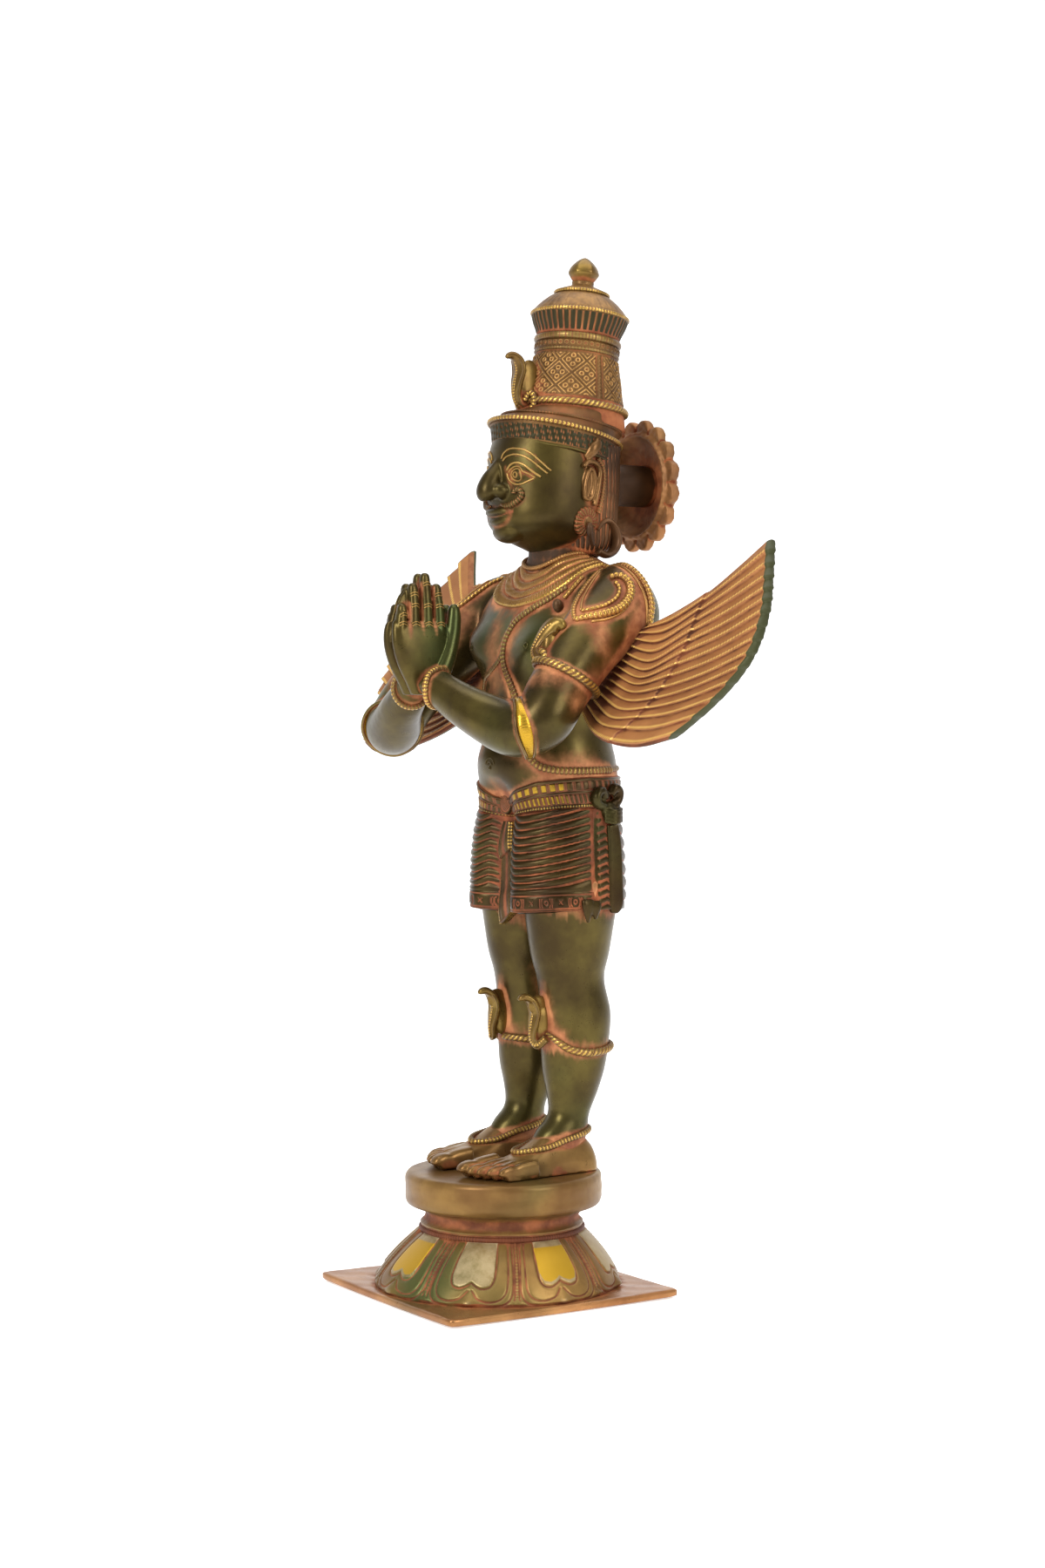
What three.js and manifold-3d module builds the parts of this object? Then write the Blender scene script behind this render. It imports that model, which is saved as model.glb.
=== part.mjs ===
// A standing garuda figure of cast bronze on its lotus plinth, in millimetres, +Z up.
// The origin is the centre of the plinth's underside. The figure faces -Y, and +X is its own left.

import * as THREE from 'three';
import Module from 'manifold-3d';
import { mergeVertices } from 'three/addons/utils/BufferGeometryUtils.js';

const wasm = await Module();
wasm.setup();

// Driving sizes of the plinth

const plateSide = 154;
const plateThickness = 4.6;
const plateCornerLift = 0.8;
const plateCornerReach = 27;
const plateMargin = 4;

const domeHeight = 31.5;
const domeTopStep = 0.4;
const petalCount = 8;
const petalRelief = 2.2;
const petalTipCurl = 2.6;
const stamenRelief = 1.1;

const beadRingHeight = 3.4;
const beadRingInset = 9.4;
const neckHeight = 11;
const neckInset = 12.5;
const drumRadius = 58;
const drumHeight = 20;
const drumTopInset = 3;
const drumBevel = 2.2;
const drumSetBack = 4.5;
const neckSetBack = 3.4;

const footGap = 0.3;

// Driving size of the figure: it is drawn in 540ths of its own height, with z from its soles.

const figureHeight = 540;
const unit = figureHeight / 540;

const legSpread = 24;
const limbSides = 10;
const bodySides = 16;
const ropeSides = 4;

const foldCount = 11;
const foldDepth = 1.5;
const clothTop = 206;
const clothBottom = 163;
const hemBottom = 153.5;

const featherCount = 10;
const featherRelief = 2.6;
const wingThickness = 5.5;
const wingLean = 0.577;
const wingCurl = 0.005;
const wingBendHeight = 284;
const wingBendPlace = 28.2;
const wingMiddle = 304;
const rightWingSpan = 0.96;
const rightWingRise = 1.2;
const rightWingDrop = 1.1;

const discRadius = 40;
const discThickness = 5.5;
const scallopCount = 16;
const scallopDepth = 5;
const discSetBack = 101;
const discCentreHeight = 406;
const stubRadius = 12.5;

const crownLean = THREE.MathUtils.degToRad(6);
const crownSides = 14;

// Shapes

function spot(x, y, z) {
  return new THREE.Vector3(x, y, z).multiplyScalar(unit);
}

// Turns points and triangles into a closed solid whose faces point outwards.
function solidFrom(points, faces) {
  let volume = 0;
  for (let f = 0; f < faces.length; f += 3) {
    const [a, b, c] = [points[faces[f]], points[faces[f + 1]], points[faces[f + 2]]];
    volume += a.dot(b.clone().cross(c));
  }
  const ordered = volume < 0 ? [...faces].reverse() : faces;
  const geometry = new THREE.BufferGeometry().setFromPoints(points);
  geometry.setIndex(ordered);
  return solidOf(geometry);
}

function solidOf(geometry) {
  geometry.deleteAttribute('normal');
  geometry.deleteAttribute('uv');
  const merged = mergeVertices(geometry, 1e-4);
  const vertProperties = new Float32Array(merged.getAttribute('position').array);
  const triVerts = new Uint32Array(merged.getIndex().array);
  return new wasm.Manifold(new wasm.Mesh({ numProp: 3, vertProperties, triVerts }));
}

function joined(solids) {
  return solids.reduce((whole, solid) => whole.add(solid));
}

// A closed skin over rings of equally many points: open ends get a fan, a loop closes on itself.
function skinOver(rings, loop = false) {
  const count = rings[0].length;
  const points = rings.flat();
  const faces = [];
  const bands = loop ? rings.length : rings.length - 1;
  for (let r = 0; r < bands; r++) {
    const here = r * count;
    const next = ((r + 1) % rings.length) * count;
    for (let i = 0; i < count; i++) {
      const j = (i + 1) % count;
      faces.push(here + i, here + j, next + j, here + i, next + j, next + i);
    }
  }
  if (!loop) {
    const last = (rings.length - 1) * count;
    const centreOf = (ring) => ring.reduce((sum, p) => sum.add(p), new THREE.Vector3()).divideScalar(count);
    points.push(centreOf(rings[0]), centreOf(rings[rings.length - 1]));
    for (let i = 0; i < count; i++) {
      const j = (i + 1) % count;
      faces.push(points.length - 2, j, i, points.length - 1, last + i, last + j);
    }
  }
  return solidFrom(points, faces);
}

// A point of an oval, or of a squarer one when its power is over 2.
function ovalPoint(angle, halfSide, halfFront, power = 2) {
  const c = Math.cos(angle);
  const s = Math.sin(angle);
  const bend = 2 / power;
  return [
    halfSide * Math.sign(c) * Math.abs(c) ** bend,
    halfFront * Math.sign(s) * Math.abs(s) ** bend,
  ];
}

// Levels are [z, centre y, half width, half depth, power, centre x], one oval above the other.
function levelRing([z, y, halfX, halfY, power = 2, x = 0], sides) {
  return Array.from({ length: sides }, (_, i) => {
    const [dx, dy] = ovalPoint((i / sides) * 2 * Math.PI, halfX, halfY, power);
    return spot(x + dx, y + dy, z);
  });
}

function stack(levels, sides) {
  return skinOver(levels.map((level) => levelRing(level, sides)));
}

// The level of a stack at any height, between the two that stand next to it.
function levelAt(levels, z) {
  const upper = Math.max(1, levels.findIndex((level) => level[0] >= z));
  const low = levels[upper - 1];
  const high = levels[upper];
  const mix = (z - low[0]) / (high[0] - low[0]);
  return low.map((value, i) => THREE.MathUtils.lerp(value, high[i], mix));
}

// A tube with one oval section at each station of a smooth path. A station is
// [x, y, z, half width, half depth], and front is the way that the depth is measured.
function tube(stations, { sides = ropeSides, front = [0, -1, 0], side = 1, loop = false } = {}) {
  const places = stations.map(([x, y, z]) => spot(x * side, y, z));
  const curve = new THREE.CatmullRomCurve3(places, loop, 'centripetal');
  const spans = loop ? stations.length : stations.length - 1;
  const frontAxis = new THREE.Vector3(front[0] * side, front[1], front[2]);
  const rings = stations.map(([, , , halfWidth, halfDepth = halfWidth], k) => {
    const along = curve.getTangent(k / spans);
    const across = new THREE.Vector3().crossVectors(along, frontAxis).normalize();
    const out = new THREE.Vector3().crossVectors(across, along).normalize();
    return Array.from({ length: sides }, (_, i) => {
      const [a, b] = ovalPoint((i / sides) * 2 * Math.PI, halfWidth * unit, halfDepth * unit);
      return places[k].clone().addScaledVector(across, a).addScaledVector(out, b);
    });
  });
  return skinOver(rings, loop);
}

function ball(x, y, z, halfX, halfY, halfZ, across = 10, up = 6) {
  const geometry = new THREE.SphereGeometry(1, across, up);
  geometry.rotateX(Math.PI / 2);
  geometry.scale(halfX * unit, halfY * unit, halfZ * unit);
  const place = spot(x, y, z);
  geometry.translate(place.x, place.y, place.z);
  return solidOf(geometry);
}

const bothSides = (make) => [1, -1].flatMap((side) => make(side));

// Legs and feet

const kneeRingHeight = 75;
const ankletHeight = 20.6;
const ankletTilt = 0.13;

// Height, centre y, half width, half depth, and how much a ring climbs to the back.
const legLevels = [
  [12, 26, 12.5, 21, ankletTilt],
  [ankletHeight - 3, 22.5, 13.6, 23.5, ankletTilt],
  [ankletHeight, 22.3, 16.4, 26.4, ankletTilt],
  [ankletHeight + 3, 25.5, 13.2, 21.5, ankletTilt],
  [33, 34.5, 11.3, 12.8, 0.1],
  [59, 38, 17, 19, 0],
  [kneeRingHeight - 3, 39, 18.3, 20.6, 0],
  [kneeRingHeight, 39, 20.6, 23, 0],
  [kneeRingHeight + 3, 39.2, 18.6, 21, 0],
  [93, 39.5, 19, 21.5, 0],
  [113, 36, 18.5, 20.5, 0],
  [130, 35.5, 21.5, 24.5, 0],
  [160, 36, 26.5, 30, 0],
];

function leg(side) {
  return skinOver(legLevels.map(([z, y, halfX, halfY, tilt]) => {
    const ring = levelRing([z, y, halfX, halfY, 2, side * legSpread], limbSides);
    for (const point of ring) point.z += tilt * (point.y - y * unit);
    return ring;
  }));
}

const footLength = 83;
const footHeel = 50;
const toeEdges = [-1, -0.38, -0.04, 0.3, 0.64, 1];
const toeTips = [0, 1.5, 4, 7.5, 12];

// Across the top of a foot: the grooves between the toes, with the ridge of a toe between each two.
const footAcross = toeEdges.flatMap((edge, n) => {
  const next = toeEdges[n + 1];
  return next === undefined ? [[edge, 0, n - 1]] : [[edge, 0, Math.max(0, n - 1)], [(edge + next) / 2, 1, n]];
});

function foot(side) {
  const outTurn = 3;
  const rootShare = 0.78;
  const section = (share, half, high, ridge, reach) => {
    const plainY = footHeel - footLength * share;
    const line = footAcross.map(([u, isRidge, n]) => {
      const tipY = footHeel - footLength + toeTips[n] + (isRidge ? 0 : 3);
      const y = THREE.MathUtils.lerp(plainY, tipY, reach);
      const round = (1 - Math.abs(u) ** 2.6) ** 0.7 * 0.75 + 0.25;
      const z = high * round - (isRidge ? 0 : ridge);
      return spot(side * (legSpread + outTurn * share + u * half), y, Math.max(0.8, z));
    });
    const edge = (k) => line[k].clone().setZ(0);
    return [edge(0), ...line, edge(line.length - 1)];
  };
  return skinOver([
    section(0, 9, 12, 0, 0),
    section(0.3, 13, 22, 0, 0),
    section(0.5, 14, 17, 0, 0),
    section(0.7, 16.5, 10.5, 0, 0),
    section(rootShare, 17, 8, 1.6, 0),
    section(rootShare, 16.6, 6.8, 2.2, 0.85),
    section(rootShare, 15.8, 3.6, 1.6, 1),
  ]);
}

// A cobra that rises from a ring: body, spread hood and head.
function cobra(places, hood, side) {
  const halves = [[2, 2], [2.4, 2.2], [hood, 2.2], [hood * 0.75, 2.6], [1.4, 1.2]];
  return tube(places.map((place, n) => [...place, ...halves[n]]), { sides: 6, side });
}

function kneeCobra(side) {
  return cobra([[27, 18, 76], [23, 13.5, 80], [23, 11, 92], [23, 7.5, 102], [23, 0.5, 102.5]], 5.2, side);
}

// Pleated lower cloth: fine folds across both thighs, parted in front and behind, over a hem

const clothSides = 12;
const clothParting = 8;
const sashSwell = 1.5;
const pleatSwell = 2.5;

// A flat sash falls over each hip and upright pleats fall behind, so the folds stop short of them.
function clothSwell(i, fold) {
  const fromSide = Math.min(i, clothSides - i);
  const behind = i > 0 && i < clothSides / 2;
  if (fromSide === 0 || i === clothSides / 2) return sashSwell;
  if (behind) return i % 2 ? 0.5 : pleatSwell;
  return fold;
}

function cloth() {
  const ring = (z, fold) => Array.from({ length: clothSides }, (_, i) => {
    const angle = (i / clothSides) * 2 * Math.PI;
    const share = THREE.MathUtils.mapLinear(z, hemBottom, clothTop, 0, 1);
    const swell = z > clothTop ? fold : clothSwell(i, fold);
    const [dx, dy] = ovalPoint(angle, 50.5 - 2.5 * share + swell, 39 + swell, 2.4);
    const parting = dy < 0 ? clothParting * Math.exp(-((dx / 6) ** 2)) * (1 - 0.6 * share) : 0;
    const hang = 2.2 * Math.sin(angle) ** 2 * (1 - share);
    return spot(dx, 35 + dy + parting, z - hang + 1);
  });
  const pitch = (clothTop - clothBottom) / foldCount;
  const folds = Array.from({ length: foldCount }, (_, n) => [
    ring(clothBottom + n * pitch, -foldDepth),
    ring(clothBottom + (n + 0.6) * pitch, 0.6),
  ]).flat();
  return skinOver([
    ring(hemBottom, -1),
    ring(hemBottom + 1.2, 1),
    ring(clothBottom - 1, 1),
    ...folds,
    ring(clothTop, -foldDepth),
    ring(clothTop + 3, -8),
  ]);
}

// Two stepped, pleated ends of the sash hang one over the other between the thighs.
function sashEnds() {
  const rings = [[200, 4], [178, 6.4], [170, 7.6], [168, 4.2], [156, 5.6], [150, 7.6], [146, 1.4]];
  return tube(rings.map(([z, half]) => [0, -0.5, z, half, 3.4]), { front: [1, -1, 0] });
}

// A knot of two loops stands on each hip.
function hipKnot(side) {
  return ball(side * 46, 52, 212, 8, 11, 7, 6, 4);
}

// Trunk, from the hips to the neck

const trunkLevels = [
  [180, 36, 45, 37, 2.2],
  [207, 36, 49, 41, 2.2],
  [220, 36, 48, 41, 2.1],
  [229, 35.5, 46, 39.5, 2],
  [241, 34.5, 44.5, 39.5, 2],
  [257, 35, 43, 35.5, 2],
  [280, 37, 47, 34.5, 2.1],
  [303, 39, 53, 35.5, 2.2],
  [320, 42, 60, 34, 2.4],
  [335, 46, 63, 31.5, 2.5],
  [347, 49, 57, 26, 2.3],
  [354, 48.5, 42, 22, 2],
  [360, 46, 25, 19.5, 2],
  [366, 44, 19, 18.5, 2],
  [380, 43, 18, 18, 2],
];
const frontAngle = -Math.PI / 2;
const chestHeight = 309;
const chestRise = 9;

// How far an angle is from the front, with 0 in front and 1 at the sides.
function fromFront(angle) {
  const turn = Math.abs(angle - frontAngle) % (2 * Math.PI);
  return Math.min(turn, 2 * Math.PI - turn) / (Math.PI / 2);
}

function trunkPoint(angle, z, swell) {
  const [, y, halfX, halfY, power] = levelAt(trunkLevels, z);
  const [dx, dy] = ovalPoint(angle, halfX + swell, halfY + swell, power);
  const sideways = fromFront(angle) - 0.42;
  const chest = chestRise * Math.exp(-((sideways / 0.28) ** 2) - ((z - chestHeight) / 13) ** 2);
  return spot(dx, y + dy - chest, z);
}

// A ring of the trunk. It dips in front: in a V for the belts, in an arc for the necklaces.
function trunkRing(z, swell = 0, dip = 0, arc = false) {
  return Array.from({ length: bodySides }, (_, i) => {
    const angle = (i / bodySides) * 2 * Math.PI;
    const away = Math.min(1, fromFront(angle));
    const share = arc ? Math.cos((away * Math.PI) / 2) ** 1.4 : 1 - away;
    return trunkPoint(angle, z - dip * share, swell * (arc ? share ** 0.5 : 1));
  });
}

const beltCount = 3;
const beltPitch = 6.6;
const beltRise = 2.4;
const beltDip = 8;
const necklaceCount = 3;
const necklacePitch = 8;
const necklaceRise = 2.6;

function trunk() {
  const belts = Array.from({ length: beltCount }, (_, n) => {
    const z = 209 + n * beltPitch;
    return [trunkRing(z, 0.4, beltDip), trunkRing(z + beltPitch * 0.5, beltRise, beltDip)];
  }).flat();
  const necklaces = Array.from({ length: necklaceCount }, (_, n) => {
    const drop = 32 - n * necklacePitch;
    const z = 353 + n * 1.4;
    return [trunkRing(z, 0, drop, true), trunkRing(z + 0.6, necklaceRise, drop - 2.5, true)];
  }).flat();
  return skinOver([
    trunkRing(204, -7, beltDip),
    ...belts,
    trunkRing(209 + beltCount * beltPitch, 0, beltDip * 0.8),
    trunkRing(231.5, 2.2, 1),
    trunkRing(234),
    ...[258, 280, 297, 309, 320].map((z) => trunkRing(z)),
    trunkRing(340, 0, 14, true),
    ...necklaces,
    trunkRing(358.5, 0, 3, true),
    trunkRing(361.5, 1.6, 1, true),
    trunkRing(364),
    trunkRing(371, -7),
  ]);
}

function medallion() {
  return ball(0, -6, 214, 5.4, 4, 8, 6, 4);
}

// The sacred thread falls from the left shoulder over the chest to the waist.
function thread() {
  return tube([
    [26, 12, 335, 2],
    [10, 2, 312, 2],
    [5, 2.5, 287, 2],
    [16, 1, 266, 2],
    [38, 11, 248, 2],
    [46, 28, 238, 2],
  ]);
}

// Straps run from the neck over the back of each shoulder.
function shoulderStrap(side) {
  return tube([
    [42, 50, 355, 2.2],
    [58, 58, 351, 2.2],
    [69, 63, 340, 2.2],
    [75, 63, 327, 2.6],
    [75.5, 62, 317, 3.2],
  ], { side, front: [1, 0, 0] });
}

// A drop-shaped ornament lies on the front of each shoulder.
function shoulderDrop(side) {
  const turns = 8;
  const stations = Array.from({ length: turns }, (_, k) => {
    const angle = (k / turns) * 2 * Math.PI;
    const point = 1 - 0.55 * Math.max(0, -Math.cos(angle)) ** 2;
    const along = -14 * Math.cos(angle);
    const across = 10 * Math.sin(angle) * point;
    return [68 + 0.55 * along, 22 - 0.25 * across, 329 + 0.3 * along + 0.9 * across, 2.2, 2.2];
  });
  return tube(stations, { side, front: [0.5, -1, 0], loop: true });
}

// Arms and joined hands

// Stations from the shoulder to the wrist, with the armlet, elbow band and bracelet as swellings.
const armStations = [
  [55, 56, 334, 22, 14],
  [66, 45, 330, 24, 18],
  [72, 25, 316, 21, 19],
  [75, 11, 303, 19.2, 18.4],
  [76, 7.5, 299.5, 21.6, 20.8],
  [77, 4, 296, 18.6, 18],
  [81, -10, 280, 17.6, 17.6],
  [83, -20, 266, 17, 17],
  [76, -27.5, 260, 16.4, 16.4],
  [66, -32, 260.2, 15.8, 15.8],
  [63, -33.3, 261, 17.8, 17.8],
  [60, -34.6, 262, 15.2, 15.2],
  [40, -42, 270.5, 12.8, 12.8],
  [24, -46, 278, 11.2, 11.2],
  [21, -46.8, 279.8, 13.4, 13.4],
  [18, -47.6, 281.6, 10.6, 10.6],
  [8, -51, 290, 12, 6],
];

function arm(side) {
  return tube(armStations, { sides: 8, side, front: [1, 0, 0.3] });
}

// The armlet's cobra rises in front of the arm.
function armCobra(side) {
  return cobra([[68, -9, 298], [63, -13, 305], [61, -10, 314], [62, -4, 322], [63, -8, 328]], 4.8, side);
}

// Each hand lies flat against the other one, with four fingers and a thumb. A finger's tip is given by
// its place and by how far it stands above the knuckles.
const wristHeight = 281;
const knuckleHeight = 317;
const palmHeight = knuckleHeight - wristHeight;
const fingerTips = [[-66, 16], [-59, 27], [-51, 33], [-43, 27]];
const fingerGroove = 1.8;

// Across the back of a hand: the grooves between the fingers, with a finger's ridge between each two.
const handAcross = fingerTips.flatMap((_, n) => [[2 * n, 0, Math.max(0, n - 1)], [2 * n + 1, 1, n]])
  .concat([[2 * fingerTips.length, 0, fingerTips.length - 1]]);

function hand(side) {
  const palmFace = 0.15;
  const webDrop = 4;
  const section = (z, outer, inner, thick, groove, reach) => {
    const line = handAcross.map(([k, isRidge, n]) => {
      const share = k / (2 * fingerTips.length);
      const next = fingerTips[Math.min(n + 1, fingerTips.length - 1)];
      const rise = isRidge ? fingerTips[n][1] : Math.min(fingerTips[n][1], next[1]) - webDrop;
      const round = (1 - Math.abs(2 * share - 1) ** 3) ** 0.6 * 0.6 + 0.4;
      const x = thick * round - (isRidge ? 0 : groove);
      return spot(side * x, THREE.MathUtils.lerp(outer, inner, share), z + rise * reach);
    });
    const inside = (k) => line[k].clone().setX(side * palmFace * unit);
    return [inside(0), ...line, inside(line.length - 1)];
  };
  const thumb = [
    [6, -42, knuckleHeight - 23, 5, 5],
    [5.5, -35, knuckleHeight - 7, 4.8, 4.8],
    [4.8, -32.5, knuckleHeight + 6, 4.2, 4.4],
    [4.4, -32, knuckleHeight + 14, 1.6, 1.8],
  ];
  return [
    skinOver([
      section(wristHeight, -62, -42, 8.5, 0, 0),
      section(wristHeight + palmHeight * 0.3, -68, -38, 9.5, 0, 0),
      section(wristHeight + palmHeight * 0.64, -72, -35.5, 9.8, 0, 0),
      section(knuckleHeight, -72.5, -37, 9, fingerGroove, 0),
      section(knuckleHeight, -69.5, -39, 8, fingerGroove, 0.9),
      section(knuckleHeight, -68, -40.5, 4.4, fingerGroove, 1),
    ]),
    tube(thumb, { sides: 6, side }),
  ];
}

// Wings: a leaning plate whose long feathers run from its root to its outer edge

// The wing stands thicker at its root, where it grows out of the back of the arm, and the short
// feathers of its inner layer stand higher than the long ones.
const wingRoot = [
  [100, 324], [80, 322], [66, 308], [60, 292], [60, 276], [66, 267], [80, 262],
];
const wingRim = [
  [167, 364], [180, 349], [192, 329], [200, 305], [200, 286], [192, 268], [177, 254], [150, 247], [118, 250],
];

function wingBack(z) {
  const below = Math.min(z - wingBendHeight, 0);
  return wingBendPlace + wingLean * (z - wingBendHeight) - wingCurl * below ** 2;
}

function wing(side) {
  const curveOf = (list) => new THREE.CatmullRomCurve3(list.map(([x, z]) => new THREE.Vector3(x, 0, z)), false, 'centripetal');
  const root = curveOf(wingRoot);
  const rim = curveOf(wingRim);
  const lines = [];
  const ridgeShare = 0.78;
  for (let n = 0; n < featherCount; n++) {
    lines.push([n / featherCount, 0], [(n + ridgeShare) / featherCount, 1]);
  }
  lines.push([1, 0]);
  const columns = [0, 0.56, 0.6, 1];
  const layerRise = [5, 1.2, 0, 0];
  const place = (s, t, lift) => {
    const a = root.getPoint(s);
    const b = rim.getPoint(s);
    const sag = 8 * Math.sin(Math.PI * t) * (1 - s);
    const x = THREE.MathUtils.lerp(a.x, b.x, t);
    const plainRise = THREE.MathUtils.lerp(a.z, b.z, t) - sag - wingMiddle;
    if (side > 0) return spot(x, wingBack(wingMiddle + plainRise) - lift, wingMiddle + plainRise);
    const z = wingMiddle + plainRise * (plainRise > 0 ? rightWingRise : rightWingDrop);
    return spot(-x * rightWingSpan, wingBack(z) - lift, z);
  };
  const rings = lines.map(([s, ridge]) => [
    ...columns.map((t, c) => place(s, t, wingThickness / 2 + featherRelief * ridge + layerRise[c])),
    place(s, 1, -wingThickness / 2),
    place(s, 0, -wingThickness / 2),
  ]);
  return skinOver(rings);
}

// Head

const headLevels = [
  [361, 43, 14, 13, 2],
  [367, 39, 23, 25, 2],
  [373, 36, 28, 33, 2.1],
  [381, 36, 31.5, 36, 2.2],
  [392, 37, 33, 36, 2.2],
  [404, 38, 33.5, 36, 2.1],
  [417, 39, 33.5, 36, 2.1],
  [430, 39, 33, 35, 2],
];

function face() {
  const beak = tube([
    [0, 8, 423, 4, 5],
    [0, 2.5, 415, 4.8, 6],
    [0, -3.5, 406, 5.8, 6],
    [0, -8, 398, 6.6, 6],
    [0, -9.5, 393.5, 4.6, 4.5],
    [0, -7.5, 391, 1.5, 2],
  ], { sides: 6, front: [0, -1, 0] });
  const lips = [388, 383.4].map((z) => tube([
    [-11, 6, z, 1.4],
    [0, -1, z + 0.4, 2.8],
    [11, 6, z, 1.4],
  ]));
  const halves = bothSides((side) => [
    ball(side * 6.5, -1, 397, 5, 6.5, 4.6, 6, 4),
    ball(side * 14, 5.6, 408, 7, 4.2, 5.2, 6, 4),
    tube([[4, 1, 411, 1.4], [9, -0.5, 420, 1.5], [17, 4, 421, 1.5], [26, 14, 413, 1.2]],
      { side, front: [0, 0, 1] }),
    tube([[4, -2, 391, 1.8], [12, 1.5, 391, 2.4], [16.5, 5.5, 397, 2], [14, 3.5, 398.5, 1.6]],
      { side, front: [0, -1, 0] }),
  ]);
  return [beak, ...lips, ...halves];
}

// Each ear: a long looped lobe with a rayed earring and a curled loop behind it.
function ear(side) {
  const lobe = [[34, 37, 412], [35, 38, 393], [35.5, 43, 390], [35.5, 45, 407], [35, 41, 414]];
  const curlSteps = 6;
  const curl = Array.from({ length: curlSteps }, (_, k) => {
    const angle = (k / curlSteps) * 2 * Math.PI;
    return [31.5, 55 + 8 * Math.cos(angle), 370.5 + 9.5 * Math.sin(angle), 2.2, 5];
  });
  return [
    tube(lobe.map((place) => [...place, 2, 2.2]), { side, front: [1, 0, 0], loop: true }),
    ball(side * 33.5, 41, 380.5, 6, 7.8, 8.4, 8, 4),
    tube(curl, { side, front: [1, 0, 0], loop: true }),
  ];
}

// Hair falls behind the ears to the nape.
function hair() {
  return stack([
    [362, 54, 26, 16, 2.2],
    [380, 53, 31.5, 22, 2.2],
    [425, 52, 33, 26, 2.2],
  ], 12);
}

// Crown

const crownFoot = [0, 52, 446.5];

// Radius and height of the crown's profile, from its foot up to the finial's tip.
const crownProfile = [
  [33, -8], [32.6, 0], [34.8, 2.6], [30.6, 5.2],
  [27.4, 20], [24.6, 33.5], [26, 35.4], [25, 38.5], [26.2, 42.5],
  [24.6, 45], [28.6, 56], [29.7, 58.2], [28, 60.6],
  [16, 71], [16.6, 73.3], [6.8, 76.8], [6.4, 79.5], [8.9, 84.5], [7.4, 89], [0.6, 94.3],
];
const cupRows = [9, 10];

function crown() {
  const rings = crownProfile.map(([radius, height], row) => Array.from({ length: crownSides }, (_, i) => {
    const angle = (i / crownSides) * 2 * Math.PI;
    const flute = cupRows.includes(row) && i % 2 ? 1.3 : 0;
    const place = new THREE.Vector3((radius - flute) * Math.cos(angle), (radius - flute) * Math.sin(angle), height);
    place.applyAxisAngle(new THREE.Vector3(1, 0, 0), -crownLean);
    return spot(place.x + crownFoot[0], place.y + crownFoot[1], place.z + crownFoot[2]);
  }));
  return skinOver(rings);
}

// The cap ends a little above the crown's foot, and its ring before that lies further forward and lower.
const capOverlap = 0.5;
const capSlope = [5, 5.5];

// The headband and the cap that joins it to the crown.
function cap() {
  const tilted = (centreY, centreZ, halfX, halfY, slope) => Array.from({ length: bodySides }, (_, i) => {
    const [dx, dy] = ovalPoint((i / bodySides) * 2 * Math.PI, halfX, halfY, 2);
    return spot(dx, centreY + dy, centreZ - slope * dy);
  });
  return skinOver([
    tilted(39, 420.5, 32, 36, 0.2),
    tilted(39, 422, 35.6, 39.5, 0.2),
    tilted(39, 431, 36, 40, 0.2),
    tilted(39.5, 433.5, 38, 42, 0.2),
    tilted(41, 436, 35, 38, 0.2),
    tilted(crownFoot[1] - capSlope[0], crownFoot[2] - capSlope[1], 33, 35, 0.14),
    tilted(crownFoot[1], crownFoot[2] + capOverlap, 30, 30, 0.1),
  ]);
}

// Places of the crown's cobra and of the web behind its hood, from the crown's foot.
const crownCobraPlaces = [[0, -28, 2.5], [0, -36, 4.5], [0, -38, 14.5], [0, -36.5, 24.5], [0, -43.5, 31]];
const crownWebPlaces = [[0, -28, 15.5], [0, -40, 19.5]];
const crownWebRadius = 2.2;

function fromCrownFoot(places) {
  return places.map(([x, y, z]) => [crownFoot[0] + x, crownFoot[1] + y, crownFoot[2] + z]);
}

function crownCobra() {
  const web = fromCrownFoot(crownWebPlaces).map((place) => [...place, crownWebRadius]);
  return [
    cobra(fromCrownFoot(crownCobraPlaces), 6.4, 1),
    tube(web, { front: [0, 0, 1] }),
  ];
}

// Disc behind the head, on a short round stub: a scalloped flange round a hollow dish

function scallopOutline() {
  const rise = [0, 0.74, 1, 0.74];
  const shape = new THREE.Shape();
  const count = scallopCount * rise.length;
  shape.setFromPoints(Array.from({ length: count }, (_, k) => {
    const angle = (k / count) * 2 * Math.PI;
    const radius = (discRadius - scallopDepth * (1 - rise[k % rise.length])) * unit;
    return new THREE.Vector2(radius * Math.cos(angle), radius * Math.sin(angle));
  }));
  return shape;
}

// Radius and depth of the dish, from its hollow front over the ridge to its back.
const dishProfile = [[12, 5], [23, 4.5], [29, -1], [31, -4.5], [33.5, -2.5], [32, 5], [20, 9]];
const dishSides = 14;
const dishMouth = 29.6;

function disc() {
  const shape = scallopOutline();
  const hole = new THREE.Path();
  hole.absarc(0, 0, dishMouth * unit, 0, 2 * Math.PI, true);
  shape.holes.push(hole);
  const flange = new THREE.ExtrudeGeometry(shape, { depth: discThickness * unit, bevelEnabled: false, curveSegments: 12 });
  flange.rotateX(-Math.PI / 2);
  const place = spot(0, discSetBack - discThickness / 2, discCentreHeight);
  flange.translate(place.x, place.y, place.z);
  const dish = skinOver(dishProfile.map(([radius, depth]) => Array.from({ length: dishSides }, (_, i) => {
    const angle = (i / dishSides) * 2 * Math.PI;
    return spot(radius * Math.cos(angle), discSetBack + depth, discCentreHeight + radius * Math.sin(angle));
  })));
  const stub = tube([
    [0, 66, discCentreHeight, stubRadius],
    [0, discSetBack + 7, discCentreHeight, stubRadius],
  ], { sides: 10, front: [0, 0, 1] });
  return [solidOf(flange), dish, stub];
}

// Plinth: base plate, lotus dome, beaded ring, neck and drum

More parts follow.
